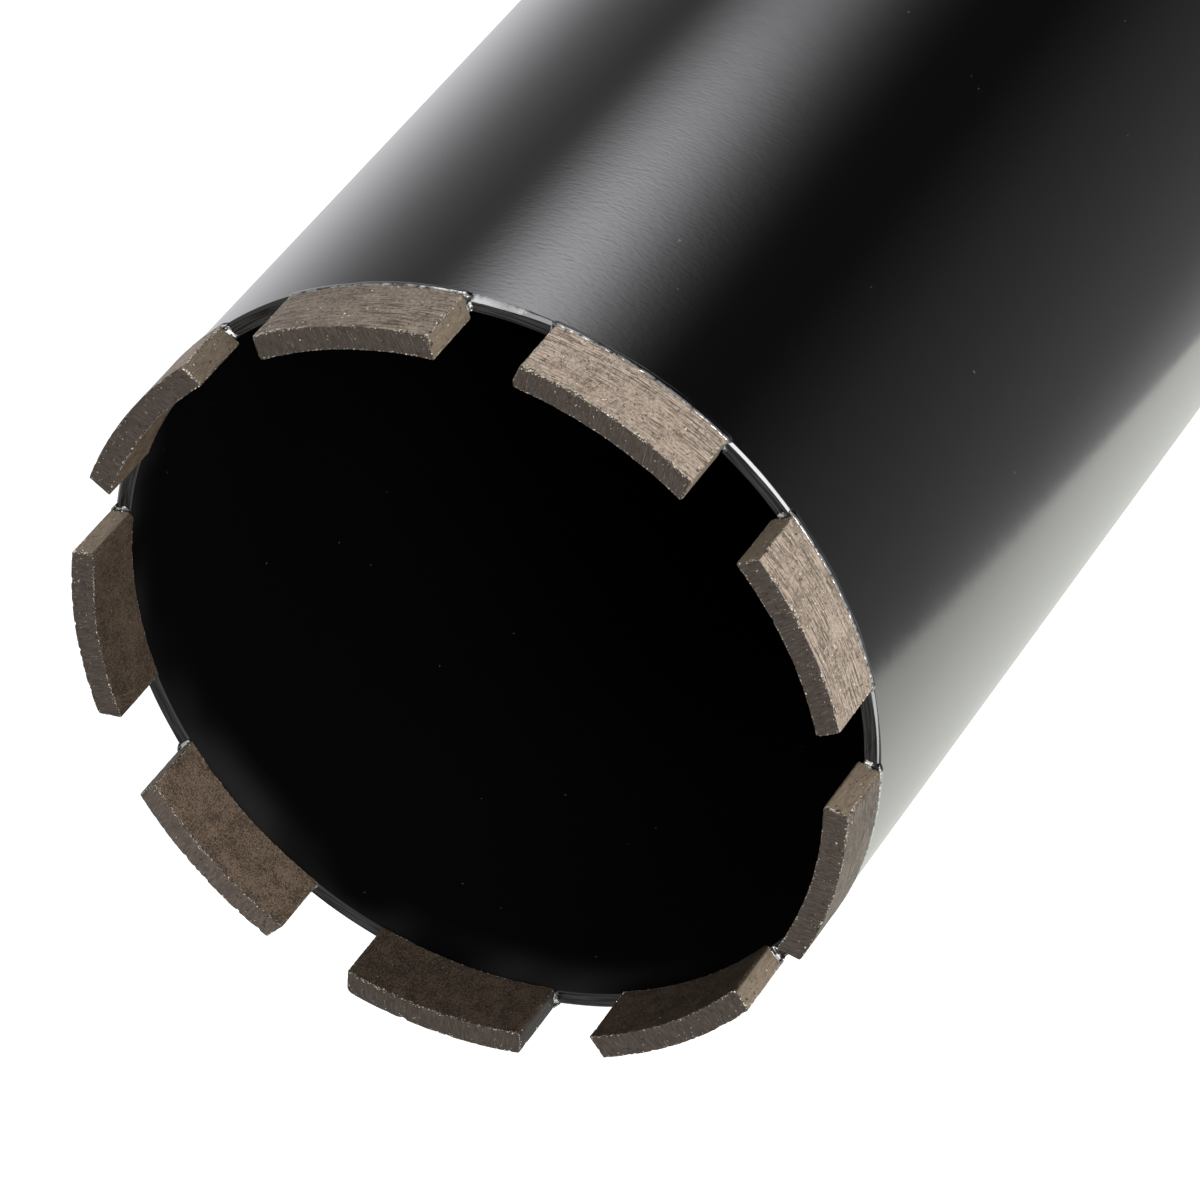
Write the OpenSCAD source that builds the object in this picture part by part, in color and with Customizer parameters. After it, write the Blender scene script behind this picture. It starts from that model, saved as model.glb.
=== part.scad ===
// Diamond core drill bit for concrete, 102 mm over the crown.
// A painted steel barrel carries a crown of sintered segments, brazed to its rim.
// The other end is closed by a welded back plate and a hexagonal hub, threaded
// 1-1/4"-7 inside for the spindle, with a passage for the flushing water.
// Lengths are millimetres. The origin is the centre of the hub's end face, and
// +Z runs along the axis to the crown. Radii in the sections are from the axis.

/* [Crown] */
// Diameter over the segments, the hole that the bit cuts
bit_d = 102; // [92:1:112]
// Number of segments round the rim
segment_count = 9; // [3:1:10]
// Width of a segment along the rim, between its parallel ends
segment_w = 23.7; // [14:0.1:26]
// Radial thickness of a segment
segment_t = 3.2; // [3:0.1:4]
// Height of a segment along the axis
segment_h = 9.9; // [6:0.1:15]
// Bevel on every edge of a segment
segment_bevel = 0.25; // [0.1:0.05:0.5]
// How far the segments stand proud of the barrel's outer wall
side_relief = 0.4; // [0.2:0.05:0.6]

/* [Braze] */
// Thickness of the braze film between the rim and a segment
braze_t = 0.15; // [0.1:0.05:0.3]
// Leg of the concave run of braze at each end of a segment
braze_run = 0.9; // [0.4:0.1:1.4]
// How far the braze creeps down the barrel's inner wall
braze_creep = 0.5; // [0.2:0.1:1]
// Land left at the thin edges of the braze
braze_land = 0.05; // [0.03:0.01:0.1]

/* [Barrel] */
// Length of the barrel
barrel_l = 400; // [120:5:450]
// Wall of the barrel
barrel_wall = 2.1; // [1.9:0.1:2.5]
// Bevel on the rim's outer edge
rim_bevel = 0.35; // [0.1:0.05:0.5]
// Bevel on the outer edge at the back of the barrel
heel_bevel = 0.3; // [0.1:0.05:0.3]

/* [Back plate] */
// Thickness of the back plate
plate_t = 10; // [6:0.5:14]
// Radial gap between the back plate and the barrel
plate_gap = 0.05; // [0.02:0.01:0.1]
// Leg of the weld preparation on the barrel and on the plate
weld_prep = 1.2; // [0.8:0.1:1.3]
// How far the ring weld spreads past its groove
weld_toe = 0.25; // [0.1:0.05:0.3]
// Height of the ring weld's crown above the plate
weld_crown = 0.8; // [0.4:0.1:1.2]

/* [Hub] */
// Spanner size across the hub's flats
hub_af = 41; // [38:1:46]
// Length of the hexagon
hex_l = 30; // [20:1:40]
// Diameter of the round collar behind the hexagon
collar_d = 50; // [48:1:60]
// Length of the collar
collar_l = 10; // [8:1:16]
// Bevel on the collar's edge
collar_bevel = 1; // [0.5:0.25:2]
// Diameter of the spigot that locates the hub in the plate
spigot_d = 36; // [30:1:44]
// Radial gap between the spigot and the plate
spigot_gap = 0.05; // [0.02:0.01:0.1]
// Bevel on the spigot's end
spigot_bevel = 1; // [0.5:0.25:2]
// Leg of the fillet weld between the collar and the plate
fillet_leg = 5; // [3:0.5:7]
// Roundness of the fillet weld, larger is flatter
fillet_flat = 6; // [3:1:12]
// Depth of the corner chamfer at the hexagon's end, below the flats
hex_chamfer = 0.8; // [0.4:0.1:1.5]

/* [Spindle bore] */
// Major diameter of the spindle thread
thread_d = 31.75; // [25:0.05:33]
// Depth of the threaded bore
thread_l = 32; // [24:1:36]
// Countersink at the bore's mouth
mouth_bevel = 1; // [0.5:0.25:2]
// Diameter of the water passage
water_d = 20; // [8:1:24]
// Angle of the cone between the bore and the water passage
drill_angle = 118; // [90:1:140]

/* [Hidden] */
$fn = 96;
eps = 0.01;
barrel_ro = bit_d / 2 - side_relief;
barrel_ri = barrel_ro - barrel_wall;
segment_ro = bit_d / 2;
segment_ri = segment_ro - segment_t;
hub_l = hex_l + collar_l;
rim_z = hub_l + barrel_l;
segment_z = rim_z + braze_t;
plate_r = barrel_ri - plate_gap;
spigot_r = spigot_d / 2;
collar_r = collar_d / 2;
thread_r = thread_d / 2;
water_r = water_d / 2;
// Where a segment's end face meets its outer and inner walls
end_xo = sqrt(pow(segment_ro, 2) - pow(segment_w / 2, 2));
end_xi = sqrt(pow(segment_ri, 2) - pow(segment_w / 2, 2));

SEGMENTS = [for (i = [1 : segment_count]) str("segment_", i)];
BRAZES = [for (i = [1 : segment_count]) str("braze_", i)];

// Turned body: a section of [radius, height] points carried round the axis
module turned(section) {
    rotate_extrude() polygon(section);
}

// Places a piece made on +X at the place of segment i
module at_segment(i) {
    rotate([0, 0, (i - 1) * 360 / segment_count]) children();
}

// Tube with a bevelled rim, and a weld preparation inside its back edge
module barrel() {
    color([0.05, 0.05, 0.055])
    turned([
        [barrel_ri + weld_prep, hub_l],
        [barrel_ro - heel_bevel, hub_l],
        [barrel_ro, hub_l + heel_bevel],
        [barrel_ro, rim_z - rim_bevel],
        [barrel_ro - rim_bevel, rim_z],
        [barrel_ri, rim_z],
        [barrel_ri, hub_l + weld_prep]
    ]);
}

// Disc inside the back of the barrel, flush with its end, bored for the spigot
module back_plate() {
    hole_r = spigot_r + spigot_gap;
    color([0.05, 0.05, 0.055])
    turned([
        [hole_r, hub_l],
        [plate_r - weld_prep, hub_l],
        [plate_r, hub_l + weld_prep],
        [plate_r, hub_l + plate_t],
        [hole_r, hub_l + plate_t]
    ]);
}

// Ring weld that fills the groove between the barrel and the plate, with a crown
// of circular section standing out behind them
module plate_weld() {
    inner = plate_r - weld_prep - weld_toe;
    outer = barrel_ri + weld_prep + weld_toe;
    half = (outer - inner) / 2;
    crown_r = (pow(half, 2) + pow(weld_crown, 2)) / (2 * weld_crown);
    color([0.06, 0.06, 0.065])
    rotate_extrude() {
        polygon([
            [inner + weld_toe, hub_l - eps],
            [outer - weld_toe, hub_l - eps],
            [outer - weld_toe, hub_l],
            [barrel_ri, hub_l + weld_prep],
            [plate_r, hub_l + weld_prep],
            [inner + weld_toe, hub_l]
        ]);
        intersection() {
            translate([inner + half, hub_l - weld_crown + crown_r]) circle(crown_r);
            translate([inner, hub_l - weld_crown]) square([2 * half, weld_crown]);
        }
    }
}

// Hexagon, collar and spigot in one piece, bored and threaded from its end face
module hub() {
    corner_r = hub_af / 2 / cos(30);
    chamfer_r = hub_af / 2 - hex_chamfer;
    clear_r = corner_r + hex_chamfer;
    cone_h = (thread_r - water_r) / tan(drill_angle / 2);
    color([0.05, 0.05, 0.055])
    difference() {
        union() {
            intersection() {
                cylinder(h = hex_l, r = corner_r, $fn = 6);
                turned([
                    [0, 0],
                    [chamfer_r, 0],
                    [clear_r, (clear_r - chamfer_r) * tan(30)],
                    [clear_r, hex_l],
                    [0, hex_l]
                ]);
            }
            turned([
                [0, hex_l - eps],
                [collar_r - collar_bevel, hex_l - eps],
                [collar_r - collar_bevel, hex_l],
                [collar_r, hex_l + collar_bevel],
                [collar_r, hub_l],
                [spigot_r, hub_l],
                [spigot_r, hub_l + plate_t - spigot_bevel],
                [spigot_r - spigot_bevel, hub_l + plate_t],
                [0, hub_l + plate_t]
            ]);
        }
        turned([
            [0, -eps],
            [thread_r + mouth_bevel + eps, -eps],
            [thread_r, mouth_bevel],
            [thread_r, thread_l],
            [water_r, thread_l + cone_h],
            [water_r, hub_l + plate_t + eps],
            [0, hub_l + plate_t + eps]
        ]);
    }
}

// Fillet weld round the collar, slightly convex between its two toes
module hub_weld() {
    bulge_r = sqrt(pow(fillet_flat, 2) + pow(fillet_flat + fillet_leg, 2));
    color([0.06, 0.06, 0.065])
    rotate_extrude()
    intersection() {
        translate([collar_r, hub_l - fillet_leg]) square(fillet_leg);
        translate([collar_r - fillet_flat, hub_l + fillet_flat]) circle(bulge_r);
    }
}

// Bevelled outline of a segment seen from the crown, open past both curved walls
module segment_plan() {
    half = segment_w / 2;
    reach = segment_w / 4;
    xo = end_xo - segment_bevel;
    xi = end_xi + segment_bevel;
    polygon([
        [xi, half], [xo, half], [xo + reach, half - reach],
        [xo + reach, reach - half], [xo, -half], [xi, -half],
        [xi - reach, reach - half], [xi - reach, half - reach]
    ]);
}

// Bevelled outline of a segment seen along its radius
module segment_front() {
    half = segment_w / 2;
    b = segment_bevel;
    polygon([
        [half - b, 0], [half, b], [half, segment_h - b], [half - b, segment_h],
        [b - half, segment_h], [-half, segment_h - b], [-half, b], [b - half, 0]
    ]);
}

// Cutting segment: curved block with parallel ends, bevelled on every edge
module segment(i) {
    b = segment_bevel;
    color([0.38, 0.33, 0.28])
    at_segment(i) translate([0, 0, segment_z])
    intersection() {
        turned([
            [segment_ri + b, 0], [segment_ro - b, 0],
            [segment_ro, b], [segment_ro, segment_h - b],
            [segment_ro - b, segment_h], [segment_ri + b, segment_h],
            [segment_ri, segment_h - b], [segment_ri, b]
        ]);
        linear_extrude(segment_h) segment_plan();
        rotate([90, 0, 90]) linear_extrude(bit_d) segment_front();
    }
}

// Run of braze at a segment's end, seen along the radius: a square less a quarter
// disc, and the wedge that fills the bevel under the segment's end
module braze_run_section() {
    b = segment_bevel;
    difference() {
        square([braze_run, braze_run + braze_t]);
        translate([braze_run, braze_run + braze_t]) circle(braze_run - braze_land);
    }
    polygon([[-b, 0], [0, 0], [0, braze_t + b], [-b, braze_t]]);
}

// Braze of segment i: the film under it, drawn out over the rim's bevel and down
// the inner wall, and a concave run on the rim at each of its ends
module braze(i) {
    color([0.75, 0.74, 0.7])
    at_segment(i) translate([0, 0, rim_z]) {
        intersection() {
            turned([
                [barrel_ri, -braze_creep],
                [barrel_ri, 0],
                [barrel_ro - rim_bevel, 0],
                [barrel_ro, -rim_bevel],
                [segment_ro - segment_bevel, braze_t],
                [segment_ri + segment_bevel, braze_t]
            ]);
            translate([0, -segment_w / 2 + segment_bevel, -braze_creep])
                cube([segment_ro, segment_w - 2 * segment_bevel, braze_creep + braze_t]);
        }
        intersection() {
            turned([
                [barrel_ri, 0],
                [barrel_ro - rim_bevel, 0],
                [barrel_ro - rim_bevel, braze_t + braze_run],
                [barrel_ri, braze_t + braze_run]
            ]);
            union() for (side = [0, 1])
                mirror([0, side, 0]) translate([0, segment_w / 2, 0])
                    rotate([90, 0, 90]) linear_extrude(bit_d) braze_run_section();
        }
    }
}

barrel();
back_plate();
plate_weld();
hub();
hub_weld();
for (i = [1 : segment_count]) segment(i);
for (i = [1 : segment_count]) braze(i);
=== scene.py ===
"""Dresses the frame of a core drill bit: painted barrel, sintered segments, braze,
welded back plate and threaded hub, with a plain studio stage and a camera.

Lengths in the property groups are metres, as in the frame. The frame's +Z runs along
the axis to the crown, and every finished piece keeps its place in its mesh.
"""

import math

import bpy
import numpy as np
from mathutils import Euler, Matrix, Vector


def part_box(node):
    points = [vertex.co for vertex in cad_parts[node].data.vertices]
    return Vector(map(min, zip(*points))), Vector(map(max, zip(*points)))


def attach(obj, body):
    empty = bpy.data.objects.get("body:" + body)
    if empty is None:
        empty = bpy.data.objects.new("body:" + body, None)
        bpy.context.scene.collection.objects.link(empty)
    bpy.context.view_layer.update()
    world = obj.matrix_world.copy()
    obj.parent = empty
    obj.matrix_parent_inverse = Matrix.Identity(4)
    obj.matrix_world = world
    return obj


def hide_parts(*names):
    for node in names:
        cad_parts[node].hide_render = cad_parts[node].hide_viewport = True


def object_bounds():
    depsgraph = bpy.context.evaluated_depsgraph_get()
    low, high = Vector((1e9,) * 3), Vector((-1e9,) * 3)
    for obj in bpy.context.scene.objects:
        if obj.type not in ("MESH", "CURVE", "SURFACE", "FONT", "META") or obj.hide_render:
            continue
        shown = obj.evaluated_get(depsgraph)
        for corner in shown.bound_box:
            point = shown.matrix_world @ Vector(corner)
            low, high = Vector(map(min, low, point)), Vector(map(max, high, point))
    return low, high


bl_info = {
    "name": "Core Drill Bit Dresser",
    "version": (1, 0, 0),
    "blender": (4, 5, 0),
    "location": "View3D > Sidebar > Core Bit",
    "description": "Builds the finished surfaces and materials of a core drill bit",
    "category": "Object",
}

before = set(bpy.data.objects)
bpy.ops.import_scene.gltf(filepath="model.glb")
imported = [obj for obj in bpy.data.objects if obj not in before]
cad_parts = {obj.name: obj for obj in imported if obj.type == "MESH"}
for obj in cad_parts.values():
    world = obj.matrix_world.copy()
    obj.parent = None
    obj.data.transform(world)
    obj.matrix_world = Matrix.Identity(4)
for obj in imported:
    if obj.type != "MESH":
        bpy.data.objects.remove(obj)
CAD_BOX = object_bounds()

MM = 0.001
BARREL_LO, BARREL_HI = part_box("barrel")
PLATE_LO, PLATE_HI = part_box("back_plate")
HUB_LO, HUB_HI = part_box("hub")
SEGMENT_LO, SEGMENT_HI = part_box("segment_1")
SEGMENT_COUNT = sum(1 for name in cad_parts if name.startswith("segment_"))
# The middle of the rim, which the lamps face
CROWN = Vector((0.0, 0.0, BARREL_HI.z))

# Points closer together than this are one point
MERGE_STEP = 1e-8
# Less than this counts as nothing, and it keeps a division from zero
TINY = 1e-9
# How far guard points stand from an arc, and the most of a stretch that they take
GUARD, GUARD_SHARE = 0.06 * MM, 0.04


# Noise and mesh tools

def lattice(ix, iy, iz, seed):
    """Random number from 0 to 1 for each whole-number lattice point: the three
    numbers are mixed with large primes, then scrambled by shifts and products."""
    h = (ix * 73856093) ^ (iy * 19349663) ^ (iz * 83492791) ^ (seed * 2654435761)
    h = h & 0xFFFFFFFF
    h = ((h ^ (h >> 15)) * 2246822519) & 0xFFFFFFFF
    h = ((h ^ (h >> 13)) * 3266489917) & 0xFFFFFFFF
    return (h ^ (h >> 16)) / 4294967295.0


def noise(points, size, seed=0):
    """Smooth noise from -1 to 1: lattice numbers blended across each cell of the
    given size, with weights that ease in and out."""
    q = points / size
    cell = np.floor(q).astype(np.int64)
    f = q - cell
    f = f * f * f * (f * (f * 6 - 15) + 10)
    total = 0.0
    for step in np.ndindex(2, 2, 2):
        wx, wy, wz = (f[..., k] if one else 1 - f[..., k] for k, one in enumerate(step))
        corner = lattice(*(cell[..., k] + one for k, one in enumerate(step)), seed)
        total = total + wx * wy * wz * corner
    return total * 2 - 1


def layered(points, size, octaves, seed=0):
    """Sum of noises, each half the size and half the height of the one before."""
    return sum(noise(points, size / 2 ** k, seed + k) / 2 ** k for k in range(octaves))


def ease(x, low, high):
    """0 below low, 1 above high, with a smooth rise between."""
    t = np.clip((x - low) / (high - low), 0, 1)
    return t * t * (3 - 2 * t)


def wall_faces(rows, cols, wrap_rows, wrap_cols):
    """Quads of a grid of rows by cols points, joined round where it wraps."""
    r = np.arange(rows if wrap_rows else rows - 1)[:, None]
    c = np.arange(cols if wrap_cols else cols - 1)[None, :]
    r1, c1 = (r + 1) % rows, (c + 1) % cols
    quads = [r * cols + c, r * cols + c1, r1 * cols + c1, r1 * cols + c]
    return np.stack(quads, -1).reshape(-1, 4)


def volume(points, faces):
    """Signed volume inside quads: a sum of cones from the origin over each face."""
    a, b, c, d = (points[faces[:, k]] for k in range(4))
    halves = (a, np.cross(b, c)), (a, np.cross(c, d))
    return sum(np.einsum("ij,ij->i", *half) for half in halves).sum() / 6


def build(name, shells, material, replaced, attributes=None):
    """Makes one object from closed grids. Each shell is (points, wrap_rows,
    wrap_cols). Coincident points are merged, so that seams and poles close, and
    faces are turned to point outwards."""
    all_points, all_faces, start = [], [], 0
    for points, wrap_rows, wrap_cols in shells:
        rows, cols = points.shape[:2]
        flat = points.reshape(-1, 3)
        faces = wall_faces(rows, cols, wrap_rows, wrap_cols)
        if volume(flat, faces) < 0:
            faces = faces[:, ::-1]
        all_points.append(flat)
        all_faces.append(faces + start)
        start += len(flat)
    points = np.concatenate(all_points)
    faces = np.concatenate(all_faces)
    keys = np.round(points / MERGE_STEP).astype(np.int64)
    _, first, same = np.unique(keys, axis=0, return_index=True, return_inverse=True)
    faces = same.reshape(-1)[faces]
    points = points[first]
    repeat = faces == np.roll(faces, -1, axis=1)
    quads = faces[~repeat.any(1)]
    folded = repeat.sum(1) == 1
    corners = faces[folded][~repeat[folded]].reshape(-1, 3)

    mesh = bpy.data.meshes.new(name)
    mesh.vertices.add(len(points))
    mesh.vertices.foreach_set("co", points.astype(np.float32).ravel())
    loops = np.concatenate([quads.ravel(), corners.ravel()])
    totals = np.concatenate([np.full(len(quads), 4), np.full(len(corners), 3)])
    mesh.loops.add(len(loops))
    mesh.loops.foreach_set("vertex_index", loops.astype(np.int32))
    mesh.polygons.add(len(totals))
    mesh.polygons.foreach_set("loop_start", (np.cumsum(totals) - totals).astype(np.int32))
    mesh.polygons.foreach_set("use_smooth", np.ones(len(totals), dtype=bool))
    for key, values in (attributes or {}).items():
        vector = values.ndim > 1 and values.shape[-1] == 3
        data = values.reshape(-1, 3) if vector else values.reshape(-1)
        layer = mesh.attributes.new(key, "FLOAT_VECTOR" if vector else "FLOAT", "POINT")
        layer.data.foreach_set("vector" if vector else "value",
                               data[first].astype(np.float32).ravel())
    mesh.update(calc_edges=True)
    mesh.validate()
    mesh.materials.append(material)
    obj = bpy.data.objects.new(name, mesh)
    bpy.context.scene.collection.objects.link(obj)
    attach(obj, "root")
    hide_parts(*replaced)
    return obj


def rounded(corners, radius, steps=5, guard=GUARD):
    """Closed outline with each corner turned into an arc. A corner is (x, y) or
    (x, y, radius). A guard point stands before and after each arc, so that smooth
    shading leaves the straight stretches flat."""
    pts = [np.array(c[:2], float) for c in corners]
    out = []
    for k, p in enumerate(pts):
        a, b = pts[k - 1] - p, pts[(k + 1) % len(pts)] - p
        la, lb = np.linalg.norm(a), np.linalg.norm(b)
        a, b = a / la, b / lb
        r = corners[k][2] if len(corners[k]) > 2 else radius
        half = math.acos(np.clip(a @ b, -1, 1)) / 2
        cut = min(r / math.tan(half), 0.45 * la, 0.45 * lb)
        r = cut * math.tan(half)
        centre = p + (a + b) / np.linalg.norm(a + b) * r / math.sin(half)
        u, v = p + a * cut - centre, p + b * cut - centre
        turn = math.acos(np.clip(u @ v / (r * r), -1, 1))
        out.append(p + a * (cut + min(guard, GUARD_SHARE * la)))
        for s in np.linspace(0, 1, steps):
            arc = math.sin((1 - s) * turn) * u + math.sin(s * turn) * v
            out.append(centre + arc / math.sin(turn))
        out.append(p + b * (cut + min(guard, GUARD_SHARE * lb)))
    return np.array(out)


def filled(outline, spacing):
    """Closed outline with extra points, so that no stretch is longer than the
    spacing, which is a number or a function of the stretch's middle."""
    out = []
    for a, b in zip(outline, np.roll(outline, -1, axis=0)):
        gap = spacing((a + b) / 2) if callable(spacing) else spacing
        n = max(1, math.ceil(np.linalg.norm(b - a) / gap))
        out.extend(a + (b - a) * k / n for k in range(n))
    return np.array(out)


def graded(outline, heights, least):
    """Closed outline with points at the given heights on every upright stretch that
    is longer than least."""
    out = []
    for a, b in zip(outline, np.roll(outline, -1, axis=0)):
        out.append(a)
        if abs(b[1] - a[1]) > least:
            ordered = sorted(heights, reverse=bool(b[1] < a[1]))
            out.extend(np.array((a[0], height)) for height in ordered)
    return np.array(out)


def turned(outline, around):
    """Surface of revolution: the outline's (radius, height) points carried round
    the axis. Returns each point's radius, angle and height."""
    angle = np.linspace(0, 2 * math.pi, around, endpoint=False)[None, :]
    return np.broadcast_arrays(outline[:, :1], angle, outline[:, 1:])


def cylindrical(r, angle, z):
    """Points in space from radius, angle and height."""
    return np.stack([r * np.cos(angle), r * np.sin(angle), z], -1)


# Material tools

class Nodes:
    """Short hand for building one node tree."""

    def __init__(self, tree):
        self.tree = tree
        tree.nodes.clear()

    def add(self, kind, values=None, **settings):
        node = self.tree.nodes.new(kind)
        for key, value in settings.items():
            setattr(node, key, value)
        return self.fill(node, values or {})

    def fill(self, node, values):
        """Links a node's inputs or sets their values. A colour is three numbers."""
        for key, value in values.items():
            socket = node.inputs[key]
            if isinstance(value, bpy.types.NodeSocket):
                self.tree.links.new(value, socket)
            else:
                socket.default_value = (*value, 1.0) if socket.type == "RGBA" else value
        return node

    def math(self, operation, *values):
        node = self.add("ShaderNodeMath", dict(enumerate(values)), operation=operation)
        return node.outputs[0]

    def plus(self, a, b):
        return self.math("ADD", a, b)

    def minus(self, a, b):
        return self.math("SUBTRACT", a, b)

    def times(self, a, b):
        return self.math("MULTIPLY", a, b)

    def larger(self, a, b):
        return self.math("MAXIMUM", a, b)

    def weighed(self, *pairs):
        """Sum of values, each times its weight."""
        total = self.times(*pairs[0])
        for value, weight in pairs[1:]:
            total = self.math("MULTIPLY_ADD", value, weight, total)
        return total

    def mix(self, factor, a, b):
        """Blend of two colours."""
        node = self.add("ShaderNodeMix", {0: factor, 6: a, 7: b}, data_type="RGBA")
        return node.outputs[2]

    def blend(self, factor, a, b):
        """Blend of two numbers."""
        node = self.add("ShaderNodeMix", {0: factor, 2: a, 3: b}, data_type="FLOAT")
        return node.outputs[0]

    def choose(self, factor, a, b):
        """One shader or another."""
        return self.add("ShaderNodeMixShader", {0: factor, 1: a, 2: b}).outputs[0]

    def span(self, value, low, high, to_low=0.0, to_high=1.0):
        """Smooth rise of a value from one range to another."""
        ends = {"From Min": low, "From Max": high, "To Min": to_low, "To Max": to_high}
        node = self.add("ShaderNodeMapRange", {"Value": value, **ends},
                        interpolation_type="SMOOTHSTEP")
        return node.outputs["Result"]

    def axes(self, vector):
        return self.add("ShaderNodeSeparateXYZ", {"Vector": vector}).outputs

    def vector(self, operation, values, output=0):
        return self.add("ShaderNodeVectorMath", values, operation=operation).outputs[output]

    def mapped(self, vector, **values):
        """Vector with a Scale or a Rotation."""
        return self.add("ShaderNodeMapping", {"Vector": vector, **values}).outputs["Vector"]

    def attribute(self, name, output="Fac"):
        return self.add("ShaderNodeAttribute", attribute_name=name).outputs[output]

    def speckle(self, vector, pattern):
        """Noise of one of the patterns that the materials name."""
        scale, detail, roughness, distortion = PATTERNS[pattern]
        node = self.add("ShaderNodeTexNoise", {
            "Vector": vector, "Scale": scale, "Detail": detail, "Roughness": roughness,
            "Distortion": distortion})
        return node.outputs["Fac"]

    def grit(self, vector, scale, share):
        """Irregular grains: cells of a random pattern whose own number is below the
        share, drawn as spots with a wavering outline."""
        waver = self.add("ShaderNodeTexNoise",
                         {"Vector": vector, "Scale": scale * 1.7, "Detail": 1.0})
        shift = self.vector("SCALE", {"Vector": waver.outputs["Color"], "Scale": 1.1 / scale})
        place = self.vector("ADD", {0: vector, 1: shift})
        cells = self.add("ShaderNodeTexVoronoi", {"Vector": place, "Scale": scale})
        chance, reach, _ = self.axes(cells.outputs["Color"])
        reach = self.math("MULTIPLY_ADD", reach, 0.34, 0.24)
        spot = self.math("LESS_THAN", cells.outputs["Distance"], reach)
        return self.times(spot, self.math("LESS_THAN", chance, share))

    def bump(self, height, distance, **normal):
        values = {"Height": height, "Distance": distance, "Strength": 1.0, **normal}
        return self.add("ShaderNodeBump", values).outputs["Normal"]


def new_material(name):
    """Returns a material, its nodes, and its shader, which is joined to the output."""
    material = bpy.data.materials.new(name)
    material.use_nodes = True
    nodes = Nodes(material.node_tree)
    shader = nodes.add("ShaderNodeBsdfPrincipled")
    nodes.add("ShaderNodeOutputMaterial", {"Surface": shader.outputs[0]})
    return material, nodes, shader


# Sizes and colours

def length(name, description, default, low, high):
    """A length, given here in millimetres."""
    return bpy.props.FloatProperty(
        name=name, description=description, default=default * MM, min=low * MM, max=high * MM,
        unit="LENGTH", precision=5)


def shade(name, description, rgb):
    """A colour, as linear red, green and blue."""
    return bpy.props.FloatVectorProperty(
        name=name, description=description, default=rgb, min=0.0, max=1.0, size=3,
        subtype="COLOR")


def power(name, description, default):
    """A lamp's power in watts."""
    return bpy.props.FloatProperty(
        name=name, description=description, default=default, min=0.0, max=500.0, unit="POWER")


def points_around(description, default, high):
    return bpy.props.IntProperty(
        name="Points around", description=description, default=default, min=64, max=high)


class CoreBitStage(bpy.types.PropertyGroup):
    camera_place: bpy.props.FloatVectorProperty(
        name="Camera place", description="Where the camera stands in the frame",
        size=3, subtype="XYZ", unit="LENGTH", precision=4, default=(0.501206, 0.316304, 1.058924))
    camera_turn: bpy.props.FloatVectorProperty(
        name="Camera turn", description="Turn of the camera about X, Y and Z",
        size=3, subtype="EULER", unit="ROTATION",
        default=tuple(math.radians(a) for a in (-35.6677, 25.5227, -26.1956)))
    lens: bpy.props.FloatProperty(
        name="Lens", description="Focal length on a 36 mm wide sensor, in millimetres",
        default=216.747, min=20.0, max=400.0)
    floor_size: length("Floor size", "Width of the square floor", 6000, 2000, 20000)
    floor_colour: shade("Floor colour", "Colour of the floor", (0.82, 0.82, 0.82))
    room_level: bpy.props.FloatProperty(
        name="Room level", description="Brightness of the studio round the object",
        default=1.0, min=0.0, max=5.0)
    key_power: power("Key power", "Power of the key lamp", 14.0)
    side_power: power("Side power", "Power of the low lamp on the right", 2.5)
    fill_power: power("Fill power", "Power of the lamp on the left", 5.0)


class CoreBitBarrel(bpy.types.PropertyGroup):
    wall: length("Wall", "Wall of the barrel", 2.1, 1, 4)
    rim_bevel: length("Rim bevel", "Bevel on the rim's outer edge", 0.38, 0.1, 0.6)
    worn_bevel: length("Worn bevel", "How much wider the bevel is where the rim is most worn",
                       0.30, 0, 0.5)
    inner_bevel: length("Inner bevel", "Bevel on the rim's inner edge", 0.15, 0.05, 0.4)
    heel_bevel: length("Heel bevel", "Bevel on the outer edge at the back", 0.3, 0.1, 0.3)
    weld_prep: length("Weld preparation", "Leg of the groove for the ring weld", 1.2, 0.5, 1.5)
    around: points_around("Points round the barrel", 768, 2048)


class CoreBitPaint(bpy.types.PropertyGroup):
    tint: shade("Tint", "Colour of the black paint", (0.0022, 0.0022, 0.0024))
    roughness: bpy.props.FloatProperty(
        name="Roughness", description="Roughness of the paint", default=0.10, min=0.0, max=1.0,
        subtype="FACTOR")
    # The dust colour also paints a sheen inside the rim and along the rim's lines
    dust: shade("Dust", "Colour of the dust caught in the paint", (0.06, 0.06, 0.06))
    steel: shade("Steel", "Colour of the bare machined steel", (0.32, 0.32, 0.32))


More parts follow.
